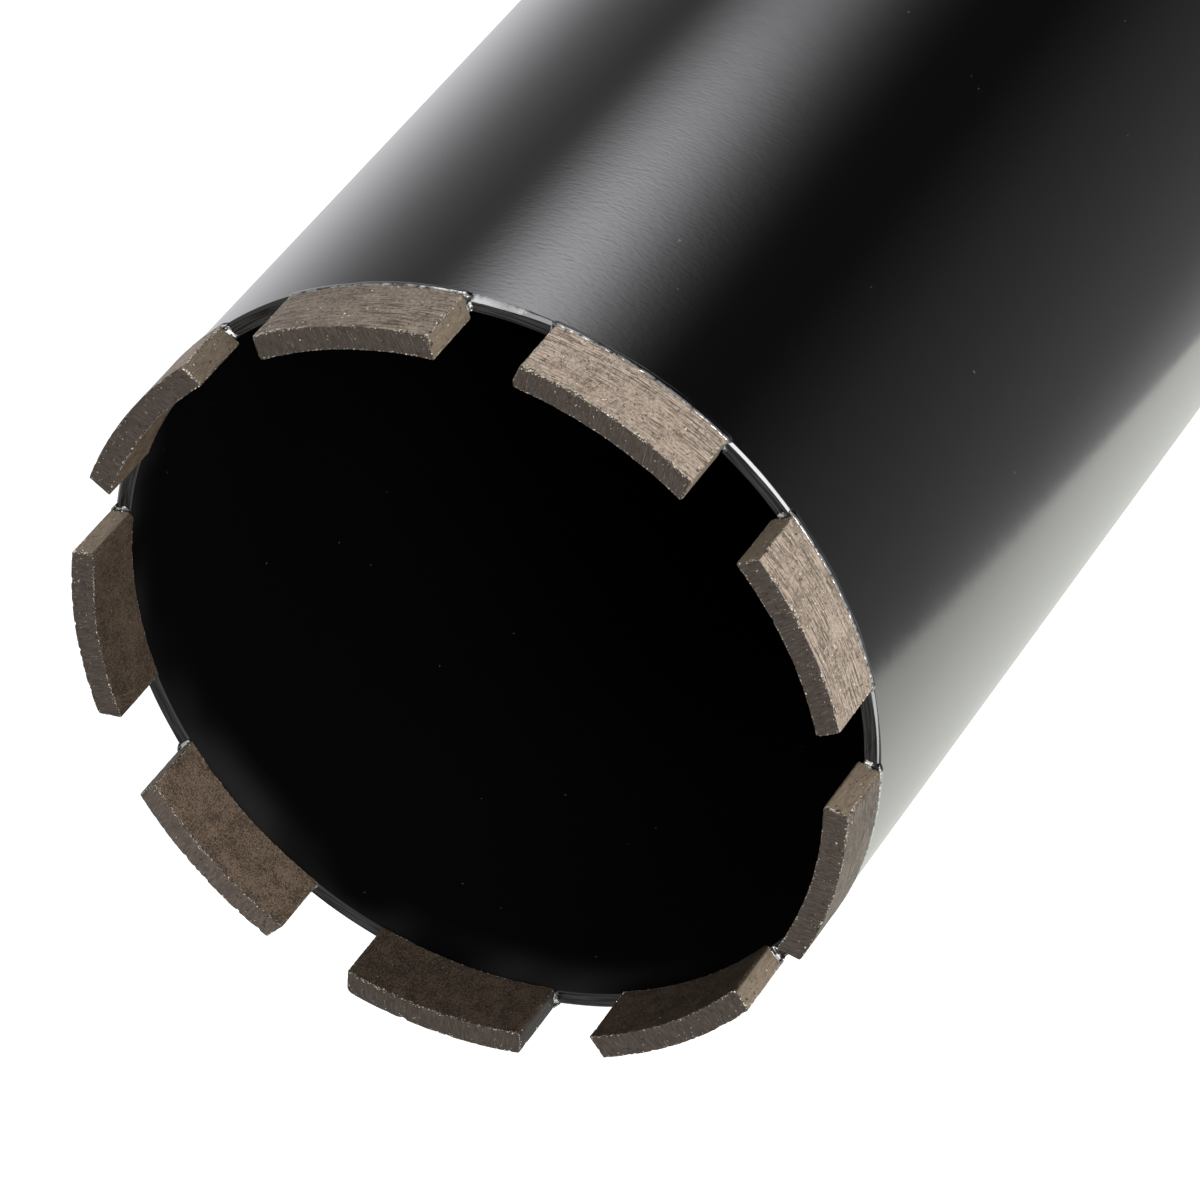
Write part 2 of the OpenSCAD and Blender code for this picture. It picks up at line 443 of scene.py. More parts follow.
class CoreBitSegment(bpy.types.PropertyGroup):
    width: length("Width", "Width of a segment between its parallel ends", 23.7, 10, 30)
    thickness: length("Thickness", "Radial thickness of a segment", 3.2, 2, 5)
    edge: length("Edge radius", "Radius along a segment's edges", 0.11, 0.05, 0.5)
    spacing: length("Spacing", "Distance between a segment's mesh points", 0.20, 0.1, 1)
    paint_height: length("Paint height", "How far the paint climbs up a segment's foot",
                         0.32, 0, 2)
    foot_recess: length("Foot recess", "How far a segment's outer wall draws in at its foot",
                        0.09, 0, 0.3)
    run: length("Braze run", "Leg of the braze at a segment's end", 0.55, 0.1, 1)
    skirt_drop: length("Skirt drop", "How far the paint's swell reaches down the barrel",
                       0.75, 0.3, 4)
    skirt_over: length("Skirt overrun", "How far the swell runs on past a segment's end",
                       0.7, 0.1, 2)
    lip: length("Paint lip", "Width of the slanting lip at the paint's edge", 0.16, 0.02, 0.3)
    outer_light: shade("Outer light", "Light streaks of the ground outer wall", (0.47, 0.38, 0.30))
    outer_dark: shade("Outer dark", "Dark streaks of the ground outer wall", (0.125, 0.098, 0.076))
    inner_light: shade("Inner light", "Light patches of the raw inner wall", (0.175, 0.125, 0.088))
    inner_dark: shade("Inner dark", "Dark patches of the raw inner wall", (0.054, 0.039, 0.028))
    end_light: shade("End light", "Light grain of the end faces", (0.30, 0.238, 0.172))
    end_dark: shade("End dark", "Dark grain of the end faces", (0.165, 0.130, 0.093))
    tip_light: shade("Tip light", "Scratches on the tip", (0.19, 0.16, 0.13))
    tip_dark: shade("Tip dark", "Ground colour of the tip", (0.042, 0.032, 0.027))
    # Colour of the painted shade inside the pits
    shaded_pit: shade("Pit", "Colour inside the pits", (0.03, 0.026, 0.022))
    # Near white: the grit's own colour and its painted glints
    fleck: shade("Fleck", "Colour of the bright grit", (0.95, 0.88, 0.74))
    silver: shade("Silver", "Colour of the bare braze", (0.78, 0.77, 0.74))


class CoreBitHub(bpy.types.PropertyGroup):
    across_flats: length("Across flats", "Width of the hexagon across its flats", 41, 30, 50)
    corner: length("Corner radius", "Radius along the hexagon's corners", 0.4, 0.1, 2)
    hexagon: length("Hexagon length", "Length of the hexagon", 30, 20, 40)
    chamfer: length("End chamfer", "How far the chamfer reaches in from the flats", 0.8, 0.2, 2)
    collar: length("Collar radius", "Radius of the round collar", 25, 24.5, 30)
    spigot: length("Spigot radius", "Radius of the spigot in the plate", 18, 12, 22)
    bore: length("Thread radius", "Major radius of the thread", 15.875, 10, 17)
    pitch: length("Pitch", "Pitch of the thread, seven turns to the inch", 25.4 / 7, 1, 5)
    thread: length("Thread length", "Depth of the threaded bore", 32, 20, 36)
    relief: length("Thread relief", "Plain length at the bottom of the thread", 3, 1, 6)
    water: length("Water radius", "Radius of the water passage", 10, 4, 12)
    drill_angle: bpy.props.FloatProperty(
        name="Drill angle", description="Angle of the cone at the bottom of the thread",
        default=math.radians(118), min=math.radians(90), max=math.radians(140), unit="ROTATION")


class CoreBitPlate(bpy.types.PropertyGroup):
    groove: length("Groove", "Leg of the weld groove on the plate's edge", 1.2, 0.5, 2)
    hole: length("Hole radius", "Radius of the hole for the hub's spigot", 18.05, 12, 22)
    around: points_around("Points round the plate", 360, 1024)


class CoreBitWeld(bpy.types.PropertyGroup):
    ring_inner: length("Ring inner radius", "Inner radius of the ring weld's crown", 47, 45, 48)
    ring_outer: length("Ring outer radius", "Outer radius of the ring weld's crown",
                       49.95, 49, 50.2)
    crown: length("Crown", "Height of the ring weld's crown", 0.8, 0.2, 1.2)
    leg: length("Fillet leg", "Leg of the fillet weld round the collar", 5, 2, 6)
    ripple: length("Ripple", "Distance between the ripples of a weld", 1.5, 0.5, 3)
    ripple_height: length("Ripple height", "Height of the ripples of a weld", 0.13, 0.02, 0.4)


# Materials

# Noise patterns: cells for each metre, detail, roughness and distortion
PATTERNS = {
    # Paint
    "orange peel": (330.0, 1.0, 0.5, 0.0),
    "broad lines": (800.0, 1.0, 0.5, 0.0),
    "fine lines": (3400.0, 1.0, 0.6, 0.0),
    "wrinkles": (2300.0, 1.0, 0.55, 0.3),
    "clouds": (35.0, 2.0, 0.5, 0.0),
    "specks": (1500.0, 0.0, 0.5, 0.0),
    # Lines on faces across the axis, dust and painted sheen
    "dusty rings": (5200.0, 1.0, 0.7, 0.0),
    "scuffs": (1100.0, 3.0, 0.65, 0.0),
    "turning": (5200.0, 1.0, 0.6, 0.0),
    # Sintered metal
    "streaks": (4600.0, 3.0, 0.75, 0.0),
    "fading": (260.0, 1.0, 0.5, 0.0),
    "grain": (6500.0, 2.0, 0.8, 0.0),
    "coarse grain": (2300.0, 2.0, 0.7, 0.0),
    "blotches": (420.0, 2.0, 0.6, 0.0),
    "sand": (5200.0, 1.0, 0.9, 0.0),
    "fibres": (5200.0, 2.0, 0.6, 0.0),
    "scratches": (5200.0, 1.0, 0.5, 0.6),
    "brushing": (4600.0, 2.0, 0.7, 0.0),
    "hollows": (2500.0, 2.0, 0.5, 0.8),
    "raised grit": (3900.0, 2.0, 0.6, 0.5),
    "ragged edge": (1500.0, 2.0, 0.6, 0.0),
    # Braze
    "patches": (1100.0, 2.0, 0.5, 0.0),
    "rubbing": (1300.0, 3.0, 0.7, 0.0),
    "flow": (1500.0, 2.0, 0.5, 0.0),
}
# Cells of the bright grit for each metre
COARSE_GRIT, FINE_GRIT = 4600.0, 8000.0
# Height of the orange peel on the barrel, on the turned pieces and on the welds, and
# of the turning lines that show through on the hub and on the plate
BARREL_PEEL, TURNED_PEEL, WELD_PEEL = 0.004 * MM, 0.006 * MM, 0.012 * MM
HUB_LINES, PLATE_LINES = 0.004 * MM, 0.006 * MM
# Share of the dust colour in the lines on the rim's face, dust and a painted sheen, and height of
# the wrinkles
RIM_DUST_AND_SHEEN, RUNS_DEPTH = 0.42, 0.0108 * MM
# The side of the barrel where the paint has wrinkled, how far out on that side the
# wrinkles start and are full, and how far below and above the rim they fade
RUNS_AT = math.radians(52)
RUNS_SIDE = BARREL_HI.x * 0.80, BARREL_HI.x * 0.95
RUNS_HEIGHT = BARREL_HI.z - 95 * MM, BARREL_HI.z + 14 * MM
# The azimuth in degrees where the rim is most worn, and how far off it the wear is
# full and ends
WORN_AT = 68
WORN_SPAN = 5.0, 17.0
# Refraction of paint, and roughness of machined steel
PAINT_IOR = 1.6
STEEL_ROUGHNESS = 0.40


def round_the_axis(nodes, place, stretch):
    """Coordinates for marks that run round the axis: X and Y are drawn out, and the
    third counts along the surface's section, up a wall or out along a face."""
    x, y, z = nodes.axes(place)
    flat = nodes.mapped(place, Scale=(1.0, 1.0, 0.0))
    section = nodes.plus(z, nodes.vector("LENGTH", {0: flat}, "Value"))
    x, y = nodes.times(x, stretch), nodes.times(y, stretch)
    return nodes.add("ShaderNodeCombineXYZ", {"X": x, "Y": y, "Z": section}).outputs[0]


def most_worn(azimuth):
    """1 where the rim is most worn, falling to 0 on both sides, by azimuth."""
    off = np.abs((np.degrees(azimuth) - WORN_AT + 180) % 360 - 180)
    return 1 - ease(off, *WORN_SPAN)


def paint_material(name, coat, peel, lines, rings=0.0, runs=0.0):
    """Black paint: an uneven film with orange peel, over turning lines that show
    through it round the axis. On faces across the axis the lines are lifted towards
    the dust colour by the share rings, as dust and a painted sheen, and wrinkles of the
    height runs cover one side and fade out down the barrel. A patchy haze of the dust
    colour lies where the dust-and-sheen mask is high: dust, and a painted sheen that is
    lighter near the rim. The machined steel shows where the bare mask is high."""
    material, nodes, shader = new_material(name)
    place = nodes.add("ShaderNodeTexCoord").outputs["Object"]
    normal = nodes.bump(nodes.speckle(place, "orange peel"), peel)
    if lines:
        around = round_the_axis(nodes, place, 0.14)
        normal = nodes.bump(nodes.speckle(around, "broad lines"), 4.0 * lines, Normal=normal)
        normal = nodes.bump(nodes.speckle(around, "fine lines"), lines, Normal=normal)
    if runs:
        outward = (math.cos(RUNS_AT), math.sin(RUNS_AT), 0.0)
        side = nodes.vector("DOT_PRODUCT", {0: place, 1: outward}, "Value")
        wrinkle = nodes.speckle(round_the_axis(nodes, place, 0.40), "wrinkles")
        wrinkle = nodes.times(wrinkle, nodes.span(side, *RUNS_SIDE))
        wrinkle = nodes.times(wrinkle, nodes.span(nodes.axes(place)["Z"], *RUNS_HEIGHT))
        normal = nodes.bump(wrinkle, runs, Normal=normal)

    cloud = nodes.speckle(place, "clouds")
    specks = nodes.span(nodes.speckle(place, "specks"), 0.895, 0.92)
    # Haze of the dust colour where the mask is high: dust, and a painted sheen near the barrel's
    # mouth
    dust_and_sheen_haze = nodes.times(nodes.attribute("dusty"), nodes.span(cloud, 0.40, 0.66, 0.0, 0.35))
    film = nodes.mix(nodes.larger(specks, dust_and_sheen_haze), coat.tint, coat.dust)
    # Lines on faces across the axis lifted towards the dust colour: dust and a painted sheen along
    # the turning marks
    ring_line = nodes.speckle(round_the_axis(nodes, place, 0.03), "dusty rings")
    facing = nodes.axes(nodes.add("ShaderNodeNewGeometry").outputs["True Normal"])["Z"]
    across = nodes.span(nodes.math("ABSOLUTE", facing), 0.8, 0.95)
    ring = nodes.times(nodes.span(ring_line, 0.42, 0.60, 0.0, rings), across)
    film = nodes.mix(ring, film, coat.dust)

    scuffs = nodes.speckle(place, "scuffs")
    bare = nodes.math("MULTIPLY_ADD", scuffs, 0.4, nodes.attribute("bare"))
    bare = nodes.span(bare, 0.62, 0.76)
    turning = nodes.speckle(round_the_axis(nodes, place, 0.05), "turning")
    metal = nodes.mix(nodes.span(turning, 0.3, 0.7, 0.55, 0.0), coat.steel, coat.dust)
    rough = nodes.span(cloud, 0.3, 0.7, coat.roughness * 0.85, coat.roughness * 1.15)
    nodes.fill(shader, {
        "Base Color": nodes.mix(bare, film, metal), "Metallic": bare,
        "Roughness": nodes.blend(bare, rough, STEEL_ROUGHNESS), "IOR": PAINT_IOR,
        "Normal": normal})
    return material


def segment_material(size, coat):
    """Sintered metal. The outer wall is ground, with fine streaks along the arc that
    fade in and out over a fine grain, and open pits darkened with painted shade; the
    ends are finely lined; the tip is dark with thin scratches across it, and the inner
    wall is raw and darkest. Bright grit stands out, most of all along the worn edges,
    its near-white colour also painting its glints. Each face's colour is scaled by a
    tone that is partly its own and partly painted light and shade. Paint covers the foot."""
    material, nodes, shader = new_material("sintered_segment")
    local = nodes.attribute("local", "Vector")
    outer, end, tip, foot, edge, tone = (
        nodes.attribute(key) for key in ("outer", "end", "tip", "foot", "edge", "tone"))
    tilted = nodes.mapped(local, Rotation=(0.0, 0.05, 0.05))
    crossed = nodes.mapped(local, Rotation=(0.0, 0.0, 0.2))

    def drawn_out(vector, stretch, pattern):
        return nodes.speckle(nodes.mapped(vector, Scale=stretch), pattern)

    streak = drawn_out(tilted, (0.018, 1.0, 1.0), "streaks")
    fade = nodes.span(nodes.speckle(local, "fading"), 0.38, 0.60, 0.25, 1.0)
    grain = nodes.speckle(local, "grain")
    coarse = nodes.speckle(local, "coarse grain")
    cloud = nodes.speckle(local, "blotches")
    lines = nodes.times(nodes.minus(streak, 0.5), fade)
    mottle = nodes.minus(nodes.plus(grain, coarse), 1.0)
    texture = nodes.weighed((lines, 2.3), (mottle, 0.66), (nodes.minus(cloud, 0.5), 0.30))
    ground = nodes.mix(nodes.span(texture, -0.27, 0.27), size.outer_dark, size.outer_light)

    sand = nodes.math("MULTIPLY_ADD", cloud, 0.4, nodes.speckle(local, "sand"))
    raw = nodes.mix(nodes.span(sand, 0.57, 0.83), size.inner_dark, size.inner_light)
    fibre = drawn_out(local, (1.0, 1.0, 0.16), "fibres")
    sides = nodes.weighed((grain, 0.5), (fibre, 0.5))
    side = nodes.mix(nodes.span(sides, 0.35, 0.65), size.end_dark, size.end_light)
    scratch = drawn_out(crossed, (1.0, 0.10, 0.3), "scratches")
    brushed = drawn_out(crossed, (1.0, 0.14, 0.3), "brushing")
    light = nodes.larger(nodes.span(scratch, 0.65, 0.84),
                         nodes.span(brushed, 0.34, 0.72, 0.04, 0.27))
    nose = nodes.mix(light, size.tip_dark, size.tip_light)
    face = nodes.mix(end, nodes.mix(outer, raw, ground), side)
    # Each face's colour is scaled by its tone, partly its own and partly painted light and shade
    face = nodes.vector("SCALE", {"Vector": nodes.mix(tip, face, nose), "Scale": tone})

    hollow = nodes.speckle(local, "hollows")
    # The pits get a painted shade in their colour, over the bump that sinks them
    shaded_pit = nodes.span(nodes.math("MULTIPLY_ADD", edge, 0.20, hollow), 0.65, 0.68)
    face = nodes.mix(nodes.times(shaded_pit, 0.8), face, size.shaded_pit)
    share = nodes.math("MULTIPLY_ADD", outer, 0.010, 0.0004)
    share = nodes.math("MULTIPLY_ADD", edge, 0.55, share)
    fleck = nodes.larger(nodes.grit(local, COARSE_GRIT, share),
                         nodes.grit(local, FINE_GRIT, share))
    raised = nodes.math("MULTIPLY_ADD", edge, 0.24, nodes.speckle(local, "raised grit"))
    fleck = nodes.larger(fleck, nodes.span(raised, 0.735, 0.77))
    fleck = nodes.times(fleck, nodes.minus(1.0, shaded_pit))
    # The grit's near-white colour is the grit itself and also its painted glints
    grit_and_glint = nodes.times(fleck, nodes.span(grain, 0.38, 0.58, 0.25, 1.0))
    face = nodes.mix(grit_and_glint, face, size.fleck)

    ragged = drawn_out(local, (1.0, 1.0, 0.4), "ragged edge")
    painted = nodes.span(nodes.math("MULTIPLY_ADD", ragged, 0.5, foot), 0.70, 0.80)
    bare = nodes.minus(1.0, painted)
    rough = nodes.blend(fleck, nodes.span(grain, 0.3, 0.7, 0.50, 0.70), 0.30)
    height = nodes.plus(nodes.times(streak, outer), nodes.times(scratch, tip))
    height = nodes.plus(height, nodes.weighed((grain, 0.8), (coarse, 1.2), (fleck, 1.2),
                                              (shaded_pit, -3.5)))
    normal = nodes.bump(nodes.times(height, bare), 0.026 * MM)
    nodes.fill(shader, {
        "Base Color": nodes.mix(painted, face, coat.tint),
        "Metallic": nodes.times(bare, nodes.blend(fleck, 0.15, 0.35)),
        "Roughness": nodes.blend(painted, rough, 0.22), "Specular IOR Level": 0.15,
        "Normal": nodes.bump(painted, 0.05 * MM, Normal=normal)})
    return material


def braze_material(size, coat):
    """Silver braze: bright and smooth where the bare mask is high, black where paint
    covers it, and dull along the paint's scraped lip."""
    material, nodes, shader = new_material("silver_braze")
    place = nodes.add("ShaderNodeTexCoord").outputs["Object"]
    patch = nodes.plus(nodes.attribute("bare"), nodes.speckle(place, "patches"))
    patch = nodes.span(patch, 0.98, 1.06)
    rubbed = nodes.span(nodes.speckle(place, "rubbing"), 0.34, 0.62)
    rubbed = nodes.times(nodes.attribute("scraped"), rubbed)
    film = nodes.mix(nodes.times(rubbed, 0.62), coat.tint, size.silver)
    nodes.fill(shader, {
        "Base Color": nodes.mix(patch, film, size.silver),
        "Metallic": nodes.larger(patch, rubbed),
        "Roughness": nodes.blend(patch, coat.roughness, 0.30), "IOR": PAINT_IOR,
        "Normal": nodes.bump(nodes.speckle(place, "flow"), 0.025 * MM)})
    return material


# Stage

# The studio by azimuth from the camera in degrees, as brightness. Below the horizon
# a pale sweep closes the right behind a slanting edge, the room before the object is
# dark, and a soft box stands low on the left. Above it the room is softer.
SWEEP = ((-180, 0.72), (-164, 0.88), (-148, 1.17), (-132, 1.52), (-118, 1.72), (-90, 1.78),
         (-60, 1.78))
GLOW = ((-180, 0.66), (-150, 0.8), (-118, 0.76), (-108, 0.60), (-99, 0.47), (-91, 0.40),
        (-83, 0.38), (-66, 0.35), (-33, 0.17), (-14, 0.04), (-2, 0.0), (60, 0.04), (80, 0.17),
        (91, 0.28), (108, 0.48), (124, 0.92), (140, 1.12), (156, 0.96), (172, 0.66), (180, 0.62))
SOFT_BOX = ((-20, 0.0), (10, 0.0), (17, 0.07), (25, 0.36), (33, 1.0), (41, 2.2), (50, 3.5),
            (58, 3.4), (66, 2.0), (75, 0.40), (83, 0.04), (92, 0.0), (120, 0.0))
HIGH_ROOM = ((-180, 0.25), (-140, 0.5), (-90, 1.0), (-20, 0.9), (20, 0.6), (90, 0.6),
             (140, 0.4), (180, 0.25))
# The sweep's edge: its azimuth and height where it starts, its slant in degrees of
# azimuth for a unit of the direction's Z, the heights between which it slants, and
# half its blur in degrees
EDGE_AT = (-97, -0.749)
EDGE_SLANT = 685
EDGE_HEIGHTS = -0.86, -0.72
EDGE_BLUR = 1.2
# The soft box's height, from its foot to its top, and how bright it is at each
BOX_HEIGHTS, BOX_LEVELS = (-0.80, -0.745), (0.33, 1.17)
# Where the room below the horizon gives way to the room above
HORIZON = -0.45, 0.15
GLOW_TINT, SWEEP_TINT = (0.97, 0.97, 1.0), (0.985, 1.0, 0.94)
WHITE = (1.0, 1.0, 1.0)
# How much the floor glows for the camera, so that it comes out white
FLOOR_LIFT = 0.45
# Lamps: the power's name, width and height, then azimuth from the camera, elevation
# and distance from the crown
LAMPS = {
    "key_lamp": ("key_power", (0.85, 0.34), (-23, 41, 1.3)),
    "side_lamp": ("side_power", (0.5, 0.2), (-88, 24, 1.3)),
    "top_lamp": ("fill_power", (0.7, 0.4), (52, 38, 1.5)),
}


def camera_azimuth(stage):
    """Angle from +X to the camera, round the axis."""
    return math.atan2(stage.camera_place[1], stage.camera_place[0])


def around_camera(stage, azimuth, elevation, distance):
    """Place at an azimuth from the camera's own, an elevation and a distance from
    the crown."""
    turn, rise = camera_azimuth(stage) + math.radians(azimuth), math.radians(elevation)
    out = Vector((math.cos(turn) * math.cos(rise), math.sin(turn) * math.cos(rise),
                  math.sin(rise)))
    return CROWN + distance * out


def area_lamp(name, watts, size, place):
    """Rectangular lamp that faces the crown and isn't seen by the camera."""
    lamp = bpy.data.lights.new(name, "AREA")
    lamp.shape = "RECTANGLE"
    lamp.size, lamp.size_y = size
    lamp.energy = watts
    obj = bpy.data.objects.new(name, lamp)
    bpy.context.scene.collection.objects.link(obj)
    obj.location = place
    obj.rotation_euler = (CROWN - place).to_track_quat("-Z", "Y").to_euler()
    obj.visible_camera = False


def room_ramp(nodes, azimuth, stops):
    """Ramp over azimuth, with each brightness as a share of the brightest."""
    peak = max(level for _, level in stops)
    ramp = nodes.add("ShaderNodeValToRGB", {"Fac": azimuth})
    ramp.color_ramp.interpolation = "B_SPLINE"
    elements = ramp.color_ramp.elements
    while len(elements) > 1:
        elements.remove(elements[-1])
    for k, (angle, level) in enumerate(stops):
        at = (angle + 180) / 360
        element = elements[0] if k == 0 else elements.new(at)
        element.position = at
        element.color = (level / peak, level / peak, level / peak, 1.0)
    return nodes.times(ramp.outputs["Color"], peak)


def make_world(stage):
    """Studio: white to the camera, and for light and reflections the room above."""
    world = bpy.data.worlds.new("studio")
    bpy.context.scene.world = world
    world.use_nodes = True
    nodes = Nodes(world.node_tree)
    direction = nodes.add("ShaderNodeTexCoord").outputs["Generated"]
    x, y, z = nodes.axes(nodes.mapped(direction, Rotation=(0.0, 0.0, -camera_azimuth(stage))))
    degrees = nodes.times(nodes.math("ARCTAN2", y, x), 180 / math.pi)
    azimuth = nodes.plus(nodes.math("DIVIDE", degrees, 360.0), 0.5)
    low, high = EDGE_HEIGHTS
    drop = nodes.minus(EDGE_AT[1], nodes.larger(nodes.math("MINIMUM", z, high), low))
    past_edge = nodes.plus(degrees, nodes.times(drop, EDGE_SLANT))
    on_sweep = nodes.span(past_edge, EDGE_AT[0] - EDGE_BLUR, EDGE_AT[0] + EDGE_BLUR, 1.0, 0.0)
    below = nodes.blend(on_sweep, room_ramp(nodes, azimuth, GLOW),
                        room_ramp(nodes, azimuth, SWEEP))
    box = nodes.times(room_ramp(nodes, azimuth, SOFT_BOX),
                      nodes.span(z, *BOX_HEIGHTS, *BOX_LEVELS))
    level = nodes.blend(nodes.span(z, *HORIZON), nodes.plus(below, box),
                        room_ramp(nodes, azimuth, HIGH_ROOM))
    room = nodes.add("ShaderNodeBackground", {
        "Color": nodes.mix(on_sweep, GLOW_TINT, SWEEP_TINT),
        "Strength": nodes.times(level, stage.room_level)}).outputs[0]
    white = nodes.add("ShaderNodeBackground", {"Color": WHITE, "Strength": 1.0}).outputs[0]
    seen = nodes.add("ShaderNodeLightPath").outputs["Is Camera Ray"]
    nodes.add("ShaderNodeOutputWorld", {"Surface": nodes.choose(seen, room, white)})


def make_floor(stage):
    """White floor that keeps the object's shadow and is lifted to white for the
    camera. From below the camera sees through it to the hub."""
    half = stage.floor_size / 2
    corners = [(-half, -half, 0.0), (half, -half, 0.0), (half, half, 0.0), (-half, half, 0.0)]
    mesh = bpy.data.meshes.new("floor")
    mesh.from_pydata(corners, [], [(0, 1, 2, 3)])
    material = bpy.data.materials.new("floor")
    material.use_nodes = True
    nodes = Nodes(material.node_tree)
    matt = nodes.add("ShaderNodeBsdfDiffuse", {"Color": stage.floor_colour}).outputs[0]
    seen = nodes.add("ShaderNodeLightPath").outputs["Is Camera Ray"]
    lift = nodes.add("ShaderNodeEmission", {
        "Color": WHITE, "Strength": nodes.times(seen, FLOOR_LIFT)}).outputs[0]
    lifted = nodes.add("ShaderNodeAddShader", {0: matt, 1: lift}).outputs[0]
    clear = nodes.add("ShaderNodeBsdfTransparent").outputs[0]
    backside = nodes.add("ShaderNodeNewGeometry").outputs["Backfacing"]
    nodes.add("ShaderNodeOutputMaterial", {
        "Surface": nodes.choose(nodes.times(seen, backside), lifted, clear)})
    mesh.materials.append(material)
    floor = bpy.data.objects.new("floor", mesh)
    bpy.context.scene.collection.objects.link(floor)
    floor.visible_glossy = False


class COREBIT_OT_stage(bpy.types.Operator):
    """Sets up the camera, the floor, the studio and the lamps"""
    bl_idname = "core_bit.stage"
    bl_label = "Stage"

    def execute(self, context):
        stage = context.scene.core_bit_stage
        lens = bpy.data.cameras.new("camera")
        lens.lens, lens.sensor_width, lens.sensor_fit = stage.lens, 36.0, "HORIZONTAL"
        camera = bpy.data.objects.new("camera", lens)
        camera.location = stage.camera_place
        camera.rotation_euler = Euler(stage.camera_turn, "XYZ")
        context.scene.collection.objects.link(camera)
        context.scene.camera = camera
        context.scene.view_settings.view_transform = "Standard"
        make_world(stage)
        make_floor(stage)
        for name, (watts, size, place) in LAMPS.items():
            area_lamp(name, getattr(stage, watts), size, around_camera(stage, *place))
        return {"FINISHED"}


# Barrel

# Depths below the rim, in millimetres, where the long walls have rows of points, and
# how long such a wall is at least
RIM_ROWS = (0.7, 1.0, 1.4, 2.5, 4.0, 6.0, 8.0, 12.0)
LONG_WALL = 100 * MM
# Distance between points down the walls, on the rim's outer half and on its inner half
WALL_STEP, OUTER_STEP, INNER_STEP = 40 * MM, 0.1 * MM, 0.3 * MM
# How far from the rim's sharp corner its wear reaches, as both depths together
WEAR_REACH = 1.4 * MM
# How far the worn bevel bulges, as a share of its distance from the corner
WEAR_BULGE = 0.035
# Cells, octaves and seed of the noise in the bevel's width, and of that in its bareness
BEVEL_NOISE, BARE_NOISE = (6 * MM, 3, 91), (5 * MM, 1, 95)
# How bare the worn bevel is, how much more where it is most worn, and how much the
# noise changes that
BARE_LEAST, BARE_MORE, BARE_UNEVEN = 0.24, 0.25, 0.10
# How far down the inside the dust and the painted sheen reach, fading from the rim, and how close
# to that wall counts as on it
DUST_AND_SHEEN_DEPTH, ON_WALL = 8 * MM, 0.01 * MM


def barrel_outline(size):
    """Section of the tube: outer wall, bevelled rim, inner wall and weld groove."""
    ro, top, back = BARREL_HI.x, BARREL_HI.z, BARREL_LO.z
    ri = ro - size.wall

    def spacing(place):
        if place[1] < top - RIM_ROWS[0] * MM:
            return WALL_STEP
        return OUTER_STEP if place[0] > ri + size.wall / 2 else INNER_STEP

    outline = rounded([
        (ro - size.heel_bevel, back), (ro, back + size.heel_bevel),
        (ro, top - size.rim_bevel, 0.15 * MM), (ro - size.rim_bevel, top),
        (ri + size.inner_bevel, top), (ri, top - size.inner_bevel),
        (ri, back + size.weld_prep), (ri + size.weld_prep, back),
    ], 0.07 * MM, guard=GUARD / 2)
    return filled(graded(outline, [top - depth * MM for depth in RIM_ROWS], LONG_WALL), spacing)


def worn_rim(size, r, angle, z):
    """Widens the rim's outer bevel unevenly round the axis, most of all in the gap
    beside the third segment, and makes it slightly convex. With a and b the depths
    below the wall and the rim, a point at a + b = d moves along its ray from the
    sharp corner, so that the bevel's leg grows to the new leg and nothing folds."""
    top, ro, old, far = BARREL_HI.z, BARREL_HI.x, size.rim_bevel, WEAR_REACH
    place = cylindrical(ro, angle, 0 * z)
    most = most_worn(angle)
    leg = old * (1 + 0.10 * layered(place, *BEVEL_NOISE)) + size.worn_bevel * most
    a, b = ro - r, top - z
    d = a + b
    outer = a < size.wall / 2
    grown = leg + (d - old) * (far - leg) / (far - old)
    share = a / np.maximum(d, TINY)
    bulge = WEAR_BULGE * 4 * share * (1 - share) * (1 - ease(d, leg, far))
    k = np.where((d < far) & outer, grown / np.maximum(d, TINY) * (1 - bulge), 1.0)
    worn_off = np.where(outer, 1 - ease(d, old, old * 1.6), 0.0)
    uneven = BARE_UNEVEN * layered(place, *BARE_NOISE)
    bare = worn_off * (BARE_LEAST + BARE_MORE * most + uneven)
    # Dust and a painted sheen on the inner wall, lightest at the rim and fading down it
    inside = (np.abs(a - size.wall) < ON_WALL) * ease(b, DUST_AND_SHEEN_DEPTH, 0.0)
    return (ro - a * k, angle, top - b * k), {"bare": bare, "dusty": inside}


class COREBIT_OT_barrel(bpy.types.Operator):
    """Builds the painted barrel with its rim"""
    bl_idname = "core_bit.barrel"
    bl_label = "Barrel"

    def execute(self, context):
        size = context.scene.core_bit_barrel
        place, masks = worn_rim(size, *turned(barrel_outline(size), size.around))
        material = paint_material("barrel_paint", context.scene.core_bit_paint, BARREL_PEEL, 0.0,
                                  rings=RIM_DUST_AND_SHEEN, runs=RUNS_DEPTH)
        build("barrel_wall", [(cylindrical(*place), True, True)], material,
              ["barrel"], masks)
        return {"FINISHED"}


# Segments

# Radii of the corners that wear or the mould rounded, in millimetres: at the tip
# towards -Y and +Y of the segment on +X, then in plan inner -Y, inner +Y, outer -Y
# and outer +Y
CORNERS = {
    1: (0.3, 0.2, 0.6, 0.2, 0.2, 0.2),
    2: (0.3, 0.5, 0.4, 0.9, 0.2, 0.3),
    3: (0.2, 0.4, 0.2, 0.7, 0.2, 0.2),
    4: (0.4, 0.3, 0.4, 0.3, 0.2, 0.2),
    5: (0.2, 0.3, 1.0, 0.4, 0.3, 0.2),
    6: (0.2, 0.3, 0.2, 0.2, 0.2, 0.2),
    7: (0.4, 0.2, 0.3, 0.7, 0.5, 0.2),
    8: (0.2, 0.3, 0.2, 0.8, 0.2, 0.2),
    9: (0.2, 0.3, 0.3, 0.6, 0.2, 0.3),
}
